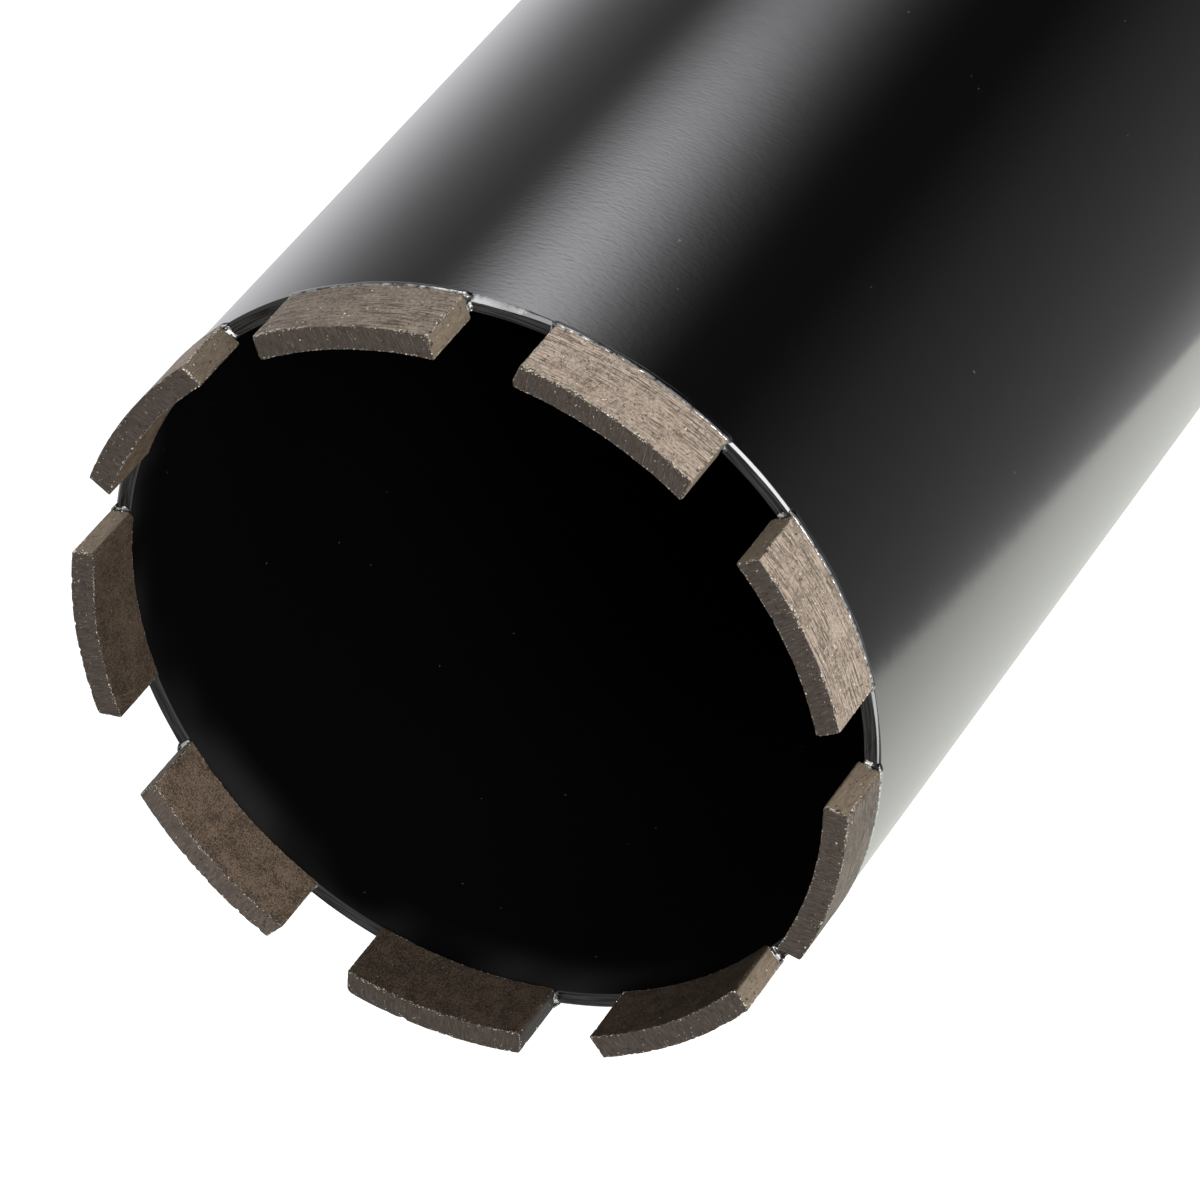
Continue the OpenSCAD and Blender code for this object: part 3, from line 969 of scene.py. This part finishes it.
# Tone of each segment's outer wall, inner wall, -Y end, +Y end and tip: partly the segments' own
# differences and partly painted light and shade, each face lightened or darkened for how the light
# falls on it
FACE_TONES_AND_SHADE = {
    1: (0.95, 1.0, 1.0, 0.50, 0.92),
    2: (0.92, 1.0, 1.0, 1.0, 0.95),
    3: (0.58, 1.0, 0.81, 1.0, 0.92),
    4: (0.9, 1.0, 0.55, 1.0, 0.95),
    5: (1.0, 0.55, 0.70, 1.0, 0.97),
    6: (1.0, 1.0, 0.3, 1.0, 1.5),
    7: (1.0, 0.40, 1.0, 0.06, 0.97),
    8: (0.9, 0.38, 1.0, 0.89, 1.0),
    9: (0.36, 1.0, 1.0, 0.77, 0.97),
}
# Rows of points from an end's middle line to its edge, and round that edge
END_ROWS, EDGE_ROWS = 9, 4
# Distance from an edge within which it counts as edge, and where that ends
EDGE_REACH = 0.08 * MM, 0.36 * MM
# Cells, octaves and seed of a segment's waviness, grain, chips and nicks, and how
# high the noise of chips and nicks is where they start and are full
WAVE, GRAIN, CHIPS, NICKS = (3.0, 3, 0), (0.40, 2, 5), (1.0, 3, 8), (0.55, 2, 9)
CHIP_LEVELS, NICK_LEVELS = (0.40, 1.1), (0.30, 0.9)
# Depths of wear in millimetres: all over, of the waviness and of the grain, then of
# chips and of nicks along any edge, and how much more on the outer edge of the tip
ALL_OVER, WAVE_DEPTH, GRAIN_DEPTH = 0.050, 0.013, 0.006
CHIP_DEPTHS, NICK_DEPTHS = (0.12, 0.15), (0.05, 0.13)
# How far apart the segments' places in the material's noise lie
LOCAL_STEP = 0.1
# Distances from the end and from the tip over which their looks fade out, and half of
# the height over which the paint on the foot does
END_FADE, TIP_FADE, FOOT_FADE = (0.0, 0.12 * MM), (0.03 * MM, 0.16 * MM), 0.35 * MM
# Distances from the tip over which the deepest wear fades out, and heights above the
# foot over which the drawn-in outer wall comes out again
CREST_FADE, RECESS_FADE = (0.1 * MM, 0.5 * MM), (0.15 * MM, 0.55 * MM)
# Cell and seed of the noise in how densely grit stands out. The band of grit below the
# tip fades out from its start to a depth that is least plus more where noise is high
GRIT_CELL, GRIT_SEED = 2.2 * MM, 3
BAND_START, BAND_LEAST, BAND_MORE = 0.05 * MM, 0.3 * MM, 0.6 * MM
# Grit at the foot, from a share of the height on, and on the inner edge of the tip
FOOT_GRIT, FOOT_FROM = 0.25, 0.9
INNER_GRIT, INNER_FADE = 0.4, (0.1 * MM, 0.4 * MM)


def soften(u, v, cu, cv, radius):
    """Rounds one corner of a rectangle seen in (u, v): beyond the arc's centre at
    (cu, cv) the square of side radius is drawn in to its quarter disc."""
    su, sv = np.sign(cu), np.sign(cv)
    du, dv = (u - (cu - su * radius)) * su, (v - (cv - sv * radius)) * sv
    inside = (du > 0) & (dv > 0)
    du, dv = np.where(inside, du, 0.0), np.where(inside, dv, 0.0)
    out = np.hypot(du, dv)
    k = np.where(out > 0, np.maximum(du, dv) / np.maximum(out, TINY * MM), 1.0)
    return u - su * du * (1 - k), v - sv * dv * (1 - k)


def segment_grid(size, index):
    """Closed surface of one segment on +X. A rounded section of wall and height is
    carried along the arc between the two parallel ends, where it shrinks to a line
    that closes the end face. Returns local places (along, across, up), how near each
    is to an edge, and its distances from the ends and the tip."""
    half_w, half_t, e = size.width / 2, size.thickness / 2, size.edge
    half_h = (SEGMENT_HI.z - SEGMENT_LO.z) / 2
    corners = [(half_t, -half_h), (half_t, half_h), (-half_t, half_h), (-half_t, -half_h)]
    across, up = filled(rounded(corners, e, 4), size.spacing).T

    turn = np.linspace(0, math.pi / 2, EDGE_ROWS)
    inset = np.concatenate([np.linspace(half_t, e + GUARD, END_ROWS), e * (1 - np.sin(turn))])
    reach = np.concatenate([np.full(END_ROWS, half_w), half_w - e + e * np.cos(turn)])
    straight = half_w - e - GUARD
    body = np.linspace(straight, -straight, round(size.width / size.spacing))
    along = np.concatenate([reach, body, -reach[::-1]])[:, None]
    inset = np.concatenate([inset, np.zeros(len(body)), inset[::-1]])[:, None]
    x = across * (half_t - inset) / half_t
    z = up * (half_h - inset) / half_h
    y = np.broadcast_to(along, x.shape)

    radii = [radius * MM for radius in CORNERS[index]]
    for side, radius in zip((-1, 1), radii):
        y, z = soften(y, z, side * half_w, half_h, radius)
    for (sy, sx), radius in zip(((-1, -1), (1, -1), (-1, 1), (1, 1)), radii[2:]):
        y, x = soften(y, x, sy * half_w, sx * half_t, radius)

    d_end = half_w - np.abs(y)
    near = np.sort(np.stack([d_end, half_t - np.abs(x), half_h - np.abs(z)]), axis=0)
    return np.stack([y, x, z], -1), 1 - ease(near[1], *EDGE_REACH), d_end, half_h - z


def worn(local, edge, crest, index):
    """Depth of wear at each place: a slow waviness, a fine grain, and chips that
    bite where noise is high along the edges, deepest on the outer edge of the tip."""
    wave, grain, chips, nicks = (
        layered(local, cell * MM, octaves, 11 * index + seed)
        for cell, octaves, seed in (WAVE, GRAIN, CHIPS, NICKS))
    depth = ALL_OVER + WAVE_DEPTH * wave + GRAIN_DEPTH * grain
    for bites, levels, (least, more) in (
            (chips, CHIP_LEVELS, CHIP_DEPTHS), (nicks, NICK_LEVELS, NICK_DEPTHS)):
        depth = depth + edge * (least + more * crest) * ease(bites, *levels)
    return depth * MM


def segment_turn(index):
    """Angle from +X to the middle of segment number index."""
    return 2 * math.pi * (index - 1) / SEGMENT_COUNT


def swung(points, index):
    """Turns points made on +X to the place of segment number index."""
    c, s = math.cos(segment_turn(index)), math.sin(segment_turn(index))
    x, y, z = np.moveaxis(points, -1, 0)
    return np.stack([x * c - y * s, x * s + y * c, z], -1)


def grit_share(local, edge, outside, at_tip, d_tip, index):
    """How densely grit stands out: thick in a wavering band below the outer edge of
    the tip, in stretches along the other edges, and thin at the foot."""
    height = SEGMENT_HI.z - SEGMENT_LO.z
    along = np.clip(0.5 + 1.1 * noise(local, GRIT_CELL, 13 * index + GRIT_SEED), 0, 1)
    below_tip = 1 - ease(d_tip, BAND_START, BAND_LEAST + BAND_MORE * along)
    band = outside * (1 - at_tip) * below_tip
    foot = FOOT_GRIT * outside * ease(d_tip, height * FOOT_FROM, height)
    inner = INNER_GRIT * edge * (1 - outside) * (1 - ease(d_tip, *INNER_FADE))
    stretches = edge * (1 - 0.5 * at_tip) * (0.15 + 0.6 * along)
    return np.maximum.reduce([band * (0.30 + 0.70 * along), stretches, inner, foot])


def segment_points(size, index):
    """Grid of the segment's points in space, and its material masks. Each local
    place goes to its own radius with its distance along kept, so that the ends stay
    parallel, and is then set back along the surface's normal by the wear."""
    local, edge, d_end, d_tip = segment_grid(size, index)
    half_h = (SEGMENT_HI.z - SEGMENT_LO.z) / 2
    middle = CAD_BOX[1][0] - size.thickness / 2
    y, x, z = np.moveaxis(local, -1, 0)
    flat = np.stack([np.sqrt((middle + x) ** 2 - y ** 2), y, SEGMENT_LO.z + half_h + z], -1)
    rows = np.gradient(flat, axis=0)
    cols = np.roll(flat, -1, axis=1) - np.roll(flat, 1, axis=1)
    normal = np.cross(rows, cols)
    normal = normal / np.maximum(np.linalg.norm(normal, axis=-1, keepdims=True), 1e-15)
    if np.einsum("ijk,ijk->ij", normal, flat - flat.mean((0, 1))).mean() < 0:
        normal = -normal
    end_normal = np.array([0.0, 1.0, 0.0]) * np.sign(y)[..., None]
    normal = np.where(d_end[..., None] < TINY, end_normal, normal)
    is_outer = x > 0
    crest = is_outer * (1 - ease(d_tip, *CREST_FADE))
    recess = is_outer * size.foot_recess * (1 - ease(half_h + z, *RECESS_FADE))
    points = flat - normal * (worn(local, edge, crest, index) + recess)[..., None]

    at_end = 1 - ease(d_end, *END_FADE)
    at_tip = 1 - ease(d_tip, *TIP_FADE)
    at_outer = is_outer.astype(float)
    # Tones of the faces, partly their own and partly painted light and shade
    outer, inner, end_lo, end_hi, tip = FACE_TONES_AND_SHADE[index]
    tone = np.where(is_outer, outer, inner)
    tone = tone + at_end * (np.where(y > 0, end_hi, end_lo) - tone)
    tone = tone + at_tip * (tip - tone)
    climb = size.paint_height * np.where(is_outer, 0.2, 0.7)
    foot = 1 - ease(half_h + z, climb - FOOT_FADE, climb + FOOT_FADE)
    masks = {
        "local": local + index * LOCAL_STEP, "outer": at_outer, "end": at_end * (1 - at_tip),
        "tip": at_tip, "foot": foot, "tone": tone,
        "edge": grit_share(local, edge, at_outer, at_tip, d_tip, index)}
    return swung(points, index), masks


class COREBIT_OT_segments(bpy.types.Operator):
    """Builds the cutting segments with worn edges"""
    bl_idname = "core_bit.segments"
    bl_label = "Segments"

    def execute(self, context):
        size = context.scene.core_bit_segment
        material = segment_material(size, context.scene.core_bit_paint)
        for index in range(1, SEGMENT_COUNT + 1):
            points, masks = segment_points(size, index)
            build(f"segment_{index}_worn", [(points, False, True)], material,
                  [f"segment_{index}"], masks)
        return {"FINISHED"}


# Braze

# Points across the rim in a run of braze, and round its concave arc
RUN_POINTS, ARC_POINTS = 26, 9
# How far a run goes into the rim and into its segment, and how far inside the tube's
# walls it starts and ends
RUN_SINK, RUN_START, RUN_END = 0.05 * MM, 0.03 * MM, 0.17 * MM
# Rows of points in the section of the swell at a segment's foot, up its sweep and
# over its lip
SWEEP_ROWS, LIP_ROWS = 11, 4
# How far the swell goes into the tube's wall where it starts, how far it stays inside
# the crown's outer radius, and how deep under the tube's wall it returns
SWELL_SINK, SWELL_SHY, RETURN_DEPTHS = 0.01 * MM, 0.006 * MM, (0.10, 0.35, 0.10)
# How bare the braze is in its runs
RUN_BARE = 0.50
# Cell and seed of the noise in a run's leg on the rim and in its rise up the end, the
# share of the stated leg that each has on average, and how much the noise changes it
LEG_NOISE, RISE_NOISE = (0.8 * MM, 31), (0.9 * MM, 37)
LEG_SHARE, RISE_SHARE, RUN_UNEVEN = 0.75, 0.85, 0.5
# Cells, octaves and seed of the noise in the swell's top, lip, drop and thickness,
# and how much it changes each
TOP_NOISE, LIP_NOISE = (1.2 * MM, 3, 41), (0.9 * MM, 2, 44)
DROP_NOISE, SWELL_NOISE = (4.0 * MM, 2, 47), (1.0 * MM, 1, 43)
TOP_UNEVEN, LIP_UNEVEN, DROP_UNEVEN, SWELL_UNEVEN = 0.25, 0.2, 0.25, 0.02
# How much wider the lip is where the rim is most worn, as a share
LIP_WORN = 1.4


def run_points(size, barrel, index, side):
    """Concave run of braze in the corner between a segment's end and the rim. A
    section of wall, arc and rim is carried out along the radius, its legs change
    with noise, and it thins to a point at both ends."""
    ri, ro = BARREL_HI.x - barrel.wall, BARREL_HI.x
    across = np.linspace(0, 1, RUN_POINTS)[:, None]
    taper = np.sqrt(np.clip(1 - (2 * across - 1) ** 2, 0, 1)) ** 0.5
    place = np.stack(np.broadcast_arrays(
        across * 2.0 * MM, index * 7.0 * MM, side * 3.0 * MM), -1)
    leg = size.run * (LEG_SHARE + RUN_UNEVEN * noise(place, *LEG_NOISE)) * taper
    rise = size.run * (RISE_SHARE + RUN_UNEVEN * noise(place, *RISE_NOISE)) * taper
    turn = np.linspace(0, math.pi / 2, ARC_POINTS)
    sunk = np.full_like(across, -RUN_SINK)
    y = np.concatenate([leg * (1 - np.sin(turn)), sunk, sunk, leg], 1)
    z = np.concatenate([rise * (1 - np.cos(turn)), rise, sunk, sunk], 1)
    y[[0, -1]] = z[[0, -1]] = -RUN_SINK
    x = np.broadcast_to(ri + RUN_START + across * (ro - ri - RUN_START - RUN_END), y.shape)
    half = size.width / 2 - RUN_SINK
    points = np.stack([np.sqrt(x ** 2 - half ** 2), side * (half + y), BARREL_HI.z + z], -1)
    return swung(points, index)


def skirt_points(size, index):
    """Paint and braze round the outside of a segment's foot. Its section starts low
    on the barrel's wall and swells out in a concave sweep to the segment's outer
    wall, where it ends in a slanting, ragged lip, and returns inside."""
    ro, foot, out = BARREL_HI.x, SEGMENT_LO.z, CAD_BOX[1][0]
    half = math.asin(size.width / 2 / out)
    over = half + size.skirt_over / out
    angle = np.linspace(-over, over, round(size.width / size.spacing))
    past = ease(np.abs(angle), half - 0.1 * MM / out, over)
    place = np.stack(np.broadcast_arrays(angle * out, index * 9.0 * MM, 0.0), -1)
    top = 1 + TOP_UNEVEN * layered(place, *TOP_NOISE)
    top = size.paint_height * top * (1 - past)
    most = most_worn(angle + segment_turn(index))
    lip = 1 + LIP_WORN * most + LIP_UNEVEN * layered(place, *LIP_NOISE)
    lip = size.lip * lip * (1 - past)
    swell = 1 + SWELL_UNEVEN * layered(place, *SWELL_NOISE)
    swell = (out - SWELL_SHY - ro) * (1 - past) * swell
    drop = size.skirt_drop * (1 + DROP_UNEVEN * layered(place, *DROP_NOISE))
    wall = ro - SWELL_SINK
    t = np.linspace(0, 1, SWEEP_ROWS)[:, None]
    s = np.linspace(0, 1, LIP_ROWS + 1)[1:, None]
    depths = np.array(RETURN_DEPTHS)[:, None] * MM
    r = np.concatenate([
        wall + swell * (1 - (1 - t) ** 2),
        wall + swell - lip * s * (0.6 + 0.4 * s),
        ro - depths + 0 * swell])
    z = np.concatenate([
        foot - drop + (drop + top - lip) * (0.62 * t ** 1.5 + 0.38 * t ** 6),
        foot + (top - lip) + lip * s * (1.5 - 0.5 * s),
        np.stack([foot + top - lip, foot - 0.3 * MM + 0 * drop, foot - drop])])
    for section in (r, z):
        section[:, [0, -1]] = section[:, [0, -1]].mean(0)
    return swung(cylindrical(np.minimum(r, out), angle, z), index)


class COREBIT_OT_braze(bpy.types.Operator):
    """Builds the braze at each segment's foot, and the paint that covers it"""
    bl_idname = "core_bit.braze"
    bl_label = "Braze"

    def execute(self, context):
        size, barrel = context.scene.core_bit_segment, context.scene.core_bit_barrel
        material = braze_material(size, context.scene.core_bit_paint)
        # The lip is scraped, from the last row of the sweep on
        rows = SWEEP_ROWS - 1, LIP_ROWS + 1, len(RETURN_DEPTHS)
        scraped_rows = np.repeat([0.0, 1.0, 0.0], rows)
        for index in range(1, SEGMENT_COUNT + 1):
            runs = [run_points(size, barrel, index, side) for side in (-1, 1)]
            skirt = skirt_points(size, index)
            on_runs = sum(run[..., 0].size for run in runs)
            bare = np.concatenate([np.full(on_runs, RUN_BARE), np.zeros(skirt[..., 0].size)])
            scraped = np.concatenate([np.zeros(on_runs), scraped_rows.repeat(skirt.shape[1])])
            shells = [(runs[0], False, True), (runs[1], False, True), (skirt, True, False)]
            build(f"braze_{index}_run", shells, material, [f"braze_{index}"],
                  {"bare": bare, "scraped": scraped})
        return {"FINISHED"}


# Hub, plate and welds

# Bevel at the mouth of the bore
MOUTH = 1.0 * MM
# Degrees from a corner of the hexagon where points stand round its arc, and of the
# points along a flat
CORNER_MARKS = (-0.7, -0.5, -0.33, -0.16, 0.0, 0.16, 0.33, 0.5, 0.7)
FLAT_MARKS = np.linspace(1.5, 58.5, 27)
# Distance between points along the hub's section, rows of points down the thread, and
# how long a stretch in the bore is at least to carry the thread
HUB_STEP, THREAD_ROWS, LONG_BORE = 2.5 * MM, 160, 20 * MM
# The thread's ridge, as shares of the pitch: half its foot, its flank and its height.
# Its section is a straight flank blended with a smooth one
RIDGE_FOOT, RIDGE_FLANK, RIDGE_HEIGHT = 7 / 16, 5 / 16, 0.541
STRAIGHT_SHARE = 0.65
# Over what length the thread runs out at its bottom
RUN_OUT = 1 * MM
# The bore's bare steel goes on this far past its radius and past its depth. On the end
# chamfer steel shows up to a height, most at the bottom and less for each millimetre
BARE_PAST, BARE_DEEPER = 1.2 * MM, 4 * MM
CHAMFER_TOP, CHAMFER_MOST, CHAMFER_LESS = 2.4 * MM, 0.45, 0.1
# How close to a surface a point counts as on it
CLOSE = 0.02 * MM
# Points across a bead, points along each ripple, where in a ripple its crest is, and
# by how many ripples the crest bends back at the toes and wanders
BEAD_ACROSS = np.linspace(-1, 1, 17)
RIPPLE_POINTS, CREST_AT, CREST_BEND, CREST_WANDER = 8, 0.72, 0.9, 0.35
# Cell and octaves of the noise in a bead, and how far its height wanders
BEAD_NOISE, BEAD_WANDER = (9 * MM, 3), 0.10 * MM
# How far the roots of the beads keep from the faces they join, and the depth of the
# ring weld's root
RING_TOE, FILLET_TOE, ROOT_STEP, ROOT_DEPTH = 0.25 * MM, 0.05 * MM, 0.02 * MM, 1.15 * MM
# How far the fillet weld bulges, as a share of its leg, and the seed of each bead
FILLET_BULGE = 0.09
RING_SEED, FILLET_SEED = 61, 71


def hexagon_radius(angle, flat, corner):
    """Distance from the axis to a hexagon with rounded corners. From a corner's
    direction the ray meets the corner's arc first, then the flat."""
    off = np.abs((angle + math.pi / 6) % (math.pi / 3) - math.pi / 6)
    centre = (flat - corner) / math.cos(math.pi / 6)
    arc_end = math.atan2(corner / 2, centre + corner * math.cos(math.pi / 6))
    rise = np.sqrt(np.maximum(corner ** 2 - (centre * np.sin(off)) ** 2, 0))
    return np.where(off < arc_end, centre * np.cos(off) + rise,
                    flat / np.cos(math.pi / 6 - off))


def chamfer_start(size):
    """Radius where the chamfer of the hub's end face starts."""
    return size.across_flats / 2 - size.chamfer


def hub_section(size, flat_r):
    """Outline of the hub's section where the hexagon reaches out to flat_r, with the
    same number of points for every reach. The first stretch is the threaded bore."""
    back, seat, top = HUB_LO.z, PLATE_LO.z, HUB_HI.z
    bevel, edge = 1.0 * MM, 0.15 * MM
    cone = (size.bore - size.water) / math.tan(size.drill_angle / 2)
    start = chamfer_start(size)
    hex_top = back + size.hexagon
    corners = [
        (size.bore, back + size.thread), (size.bore, back + MOUTH), (size.bore + MOUTH, back),
        (start, back, 0.10 * MM),
        (flat_r, back + (flat_r - start) * math.tan(math.pi / 6), edge),
        (flat_r, hex_top, 0.10 * MM), (size.collar - bevel, hex_top, 0.05 * MM),
        (size.collar, hex_top + bevel, 0.2 * MM), (size.collar, seat), (size.spigot, seat),
        (size.spigot, top - bevel), (size.spigot - bevel, top), (size.water, top),
        (size.water, back + size.thread + cone),
    ]
    return rounded(corners, 0.08 * MM, 4)


def hub_points(size):
    """Grid of the hub's points and its bare mask. The bore carries a right-handed
    thread, whose ridges are cut off by the bevel at the mouth."""
    sixth = np.radians([*CORNER_MARKS, *FLAT_MARKS])
    angle = np.concatenate([math.radians(60) * k + sixth for k in range(6)])
    flats = hexagon_radius(angle, size.across_flats / 2, size.corner)
    sections = np.stack([hub_section(size, flat_r) for flat_r in flats], 1)
    rows = []
    for here, after in zip(sections, np.roll(sections, -1, axis=0)):
        reach = np.linalg.norm(after - here, axis=-1).max()
        widest = max(here[:, 0].max(), after[:, 0].max())
        in_bore = widest < size.bore + CLOSE and reach > LONG_BORE
        count = THREAD_ROWS if in_bore else max(1, round(reach / HUB_STEP))
        rows.extend(here + (after - here) * j / count for j in range(count))
    r, z = np.moveaxis(np.stack(rows), -1, 0)
    height = z - HUB_LO.z

    phase = (z / size.pitch - angle / (2 * math.pi)) % 1.0
    flank = (RIDGE_FOOT - np.abs(phase - 0.5)) / RIDGE_FLANK
    ridge = STRAIGHT_SHARE * np.clip(flank, 0, 1) + (1 - STRAIGHT_SHARE) * ease(flank, 0, 1)
    plain = size.thread - size.relief
    ridge = ridge * (1 - ease(height, plain - RUN_OUT, plain))
    threaded = size.bore - RIDGE_HEIGHT * size.pitch * ridge
    threaded = np.maximum(threaded, np.minimum(size.bore + MOUTH - height, size.bore))
    r = np.where(np.abs(r - size.bore) < CLOSE, threaded, r)

    start = chamfer_start(size)
    bore_side = (r < size.bore + BARE_PAST) & (height < size.thread + BARE_DEEPER)
    face = (height < CLOSE) & (r < start)
    chamfer = (height < CHAMFER_TOP) & (r > start - 0.05 * MM)
    rubbed = np.where(chamfer, CHAMFER_MOST - height / MM * CHAMFER_LESS, 0.0)
    bare = np.where(bore_side | face, 1.0, rubbed)
    return cylindrical(r, angle, z), bare


class COREBIT_OT_hub(bpy.types.Operator):
    """Builds the hub with its hexagon, collar, spigot and thread"""
    bl_idname = "core_bit.hub"
    bl_label = "Hub"

    def execute(self, context):
        points, bare = hub_points(context.scene.core_bit_hub)
        material = paint_material("hub_paint", context.scene.core_bit_paint, TURNED_PEEL,
                                  HUB_LINES)
        build("hub_turned", [(points, True, True)], material, ["hub"], {"bare": bare})
        return {"FINISHED"}


class COREBIT_OT_plate(bpy.types.Operator):
    """Builds the turned back plate"""
    bl_idname = "core_bit.plate"
    bl_label = "Back plate"

    def execute(self, context):
        size = context.scene.core_bit_plate
        low, high, out = PLATE_LO.z, PLATE_HI.z, PLATE_HI.x
        outline = filled(rounded([
            (size.hole, low), (out - size.groove, low), (out, low + size.groove),
            (out, high, 0.2 * MM), (size.hole, high, 0.2 * MM)], 0.08 * MM), 4 * MM)
        material = paint_material("plate_paint", context.scene.core_bit_paint, TURNED_PEEL,
                                  PLATE_LINES)
        build("plate_turned", [(cylindrical(*turned(outline, size.around)), True, True)],
              material, ["back_plate"])
        return {"FINISHED"}


def rippled(section, normals, across, radius, size, seed):
    """Weld bead: the section carried round the axis with a chain of crescent ripples.
    Each ripple rises slowly and drops fast, its crest bends back from the middle to
    both toes, and the bead's width and height wander with noise."""
    count = round(2 * math.pi * radius / size.ripple)
    angle = np.linspace(0, 2 * math.pi, count * RIPPLE_POINTS, endpoint=False)[None, :]
    s = across[:, None]
    place = np.stack(np.broadcast_arrays(
        np.cos(angle) * radius, np.sin(angle) * radius, 4 * MM * s), -1)
    wander = layered(place, *BEAD_NOISE, seed)
    turns = angle * count / (2 * math.pi)
    phase = (turns + CREST_BEND * s ** 2 + CREST_WANDER * wander) % 1.0
    crest = np.where(phase < CREST_AT, ease(phase, 0.0, CREST_AT), 1 - ease(phase, CREST_AT, 1.0))
    middle = np.clip(1 - s ** 2, 0, 1) ** 0.6
    lift = size.ripple_height * (crest - 0.9) * middle + BEAD_WANDER * (wander - 0.6) * middle
    r, z = (section[:, [k]] + normals[:, [k]] * lift for k in (0, 1))
    return cylindrical(r, angle, z)


def build_bead(name, replaced, material, size, radius, seed, section, normals, root):
    """Builds a weld bead from its rippled face and the plain points of its root."""
    section = np.concatenate([section, root])
    normals = np.concatenate([normals, np.zeros((len(root), 2))])
    across = np.concatenate([BEAD_ACROSS, np.ones(len(root))])
    points = rippled(section, normals, across, radius, size, seed)
    build(name, [(points, True, True)], material, [replaced])


class COREBIT_OT_welds(bpy.types.Operator):
    """Builds the ring weld and the fillet weld with their ripples"""
    bl_idname = "core_bit.welds"
    bl_label = "Welds"

    def execute(self, context):
        size, collar = context.scene.core_bit_weld, context.scene.core_bit_hub.collar
        wall = context.scene.core_bit_barrel.wall
        material = paint_material("weld_paint", context.scene.core_bit_paint, WELD_PEEL, 0.0)
        seat, s = PLATE_LO.z, BEAD_ACROSS

        middle = (size.ring_inner + size.ring_outer) / 2
        half = (size.ring_outer - size.ring_inner) / 2
        section = np.stack([middle + half * s, seat - size.crown * (1 - s ** 2)], -1)
        normals = np.stack([2 * size.crown / half * s, np.full(len(s), -1.0)], -1)
        normals /= np.linalg.norm(normals, axis=1, keepdims=True)
        root = [(size.ring_outer - RING_TOE, seat + ROOT_STEP),
                (BARREL_HI.x - wall, seat + ROOT_DEPTH),
                (size.ring_inner + RING_TOE, seat + ROOT_STEP)]
        build_bead("ring_weld_bead", "plate_weld", material, size, middle, RING_SEED,
                   section, normals, root)

        flat = size.leg * (1 + s) / 2
        bulge = FILLET_BULGE * size.leg * (1 - s ** 2)
        section = np.stack([collar + flat + bulge, seat - size.leg + flat - bulge], -1)
        normals = np.broadcast_to(np.array([1.0, -1.0]) / math.sqrt(2), section.shape)
        root = [(collar - FILLET_TOE, seat + 0.03 * MM)]
        build_bead("fillet_weld_bead", "hub_weld", material, size, collar + size.leg / 2,
                   FILLET_SEED, section, normals, root)
        return {"FINISHED"}


class COREBIT_PT_panel(bpy.types.Panel):
    """Lists the pieces of the core bit"""
    bl_idname = "COREBIT_PT_panel"
    bl_label = "Core Bit"
    bl_space_type = "VIEW_3D"
    bl_region_type = "UI"
    bl_category = "Core Bit"

    def draw(self, context):
        for operator in OPERATORS:
            self.layout.operator(operator.bl_idname)


GROUPS = {
    "core_bit_stage": CoreBitStage, "core_bit_paint": CoreBitPaint,
    "core_bit_barrel": CoreBitBarrel, "core_bit_segment": CoreBitSegment,
    "core_bit_hub": CoreBitHub, "core_bit_plate": CoreBitPlate, "core_bit_weld": CoreBitWeld,
}
OPERATORS = (
    COREBIT_OT_stage, COREBIT_OT_barrel, COREBIT_OT_segments, COREBIT_OT_braze,
    COREBIT_OT_hub, COREBIT_OT_plate, COREBIT_OT_welds,
)


def register():
    for group in GROUPS.values():
        bpy.utils.register_class(group)
    for operator in OPERATORS:
        bpy.utils.register_class(operator)
    bpy.utils.register_class(COREBIT_PT_panel)
    for name, group in GROUPS.items():
        setattr(bpy.types.Scene, name, bpy.props.PointerProperty(type=group))


def unregister():
    for name in GROUPS:
        delattr(bpy.types.Scene, name)
    bpy.utils.unregister_class(COREBIT_PT_panel)
    for operator in reversed(OPERATORS):
        bpy.utils.unregister_class(operator)
    for group in GROUPS.values():
        bpy.utils.unregister_class(group)


def main():
    register()
    bpy.ops.core_bit.stage()
    bpy.ops.core_bit.barrel()
    bpy.ops.core_bit.segments()
    bpy.ops.core_bit.braze()
    bpy.ops.core_bit.hub()
    bpy.ops.core_bit.plate()
    bpy.ops.core_bit.welds()


if __name__ == "__main__":
    main()
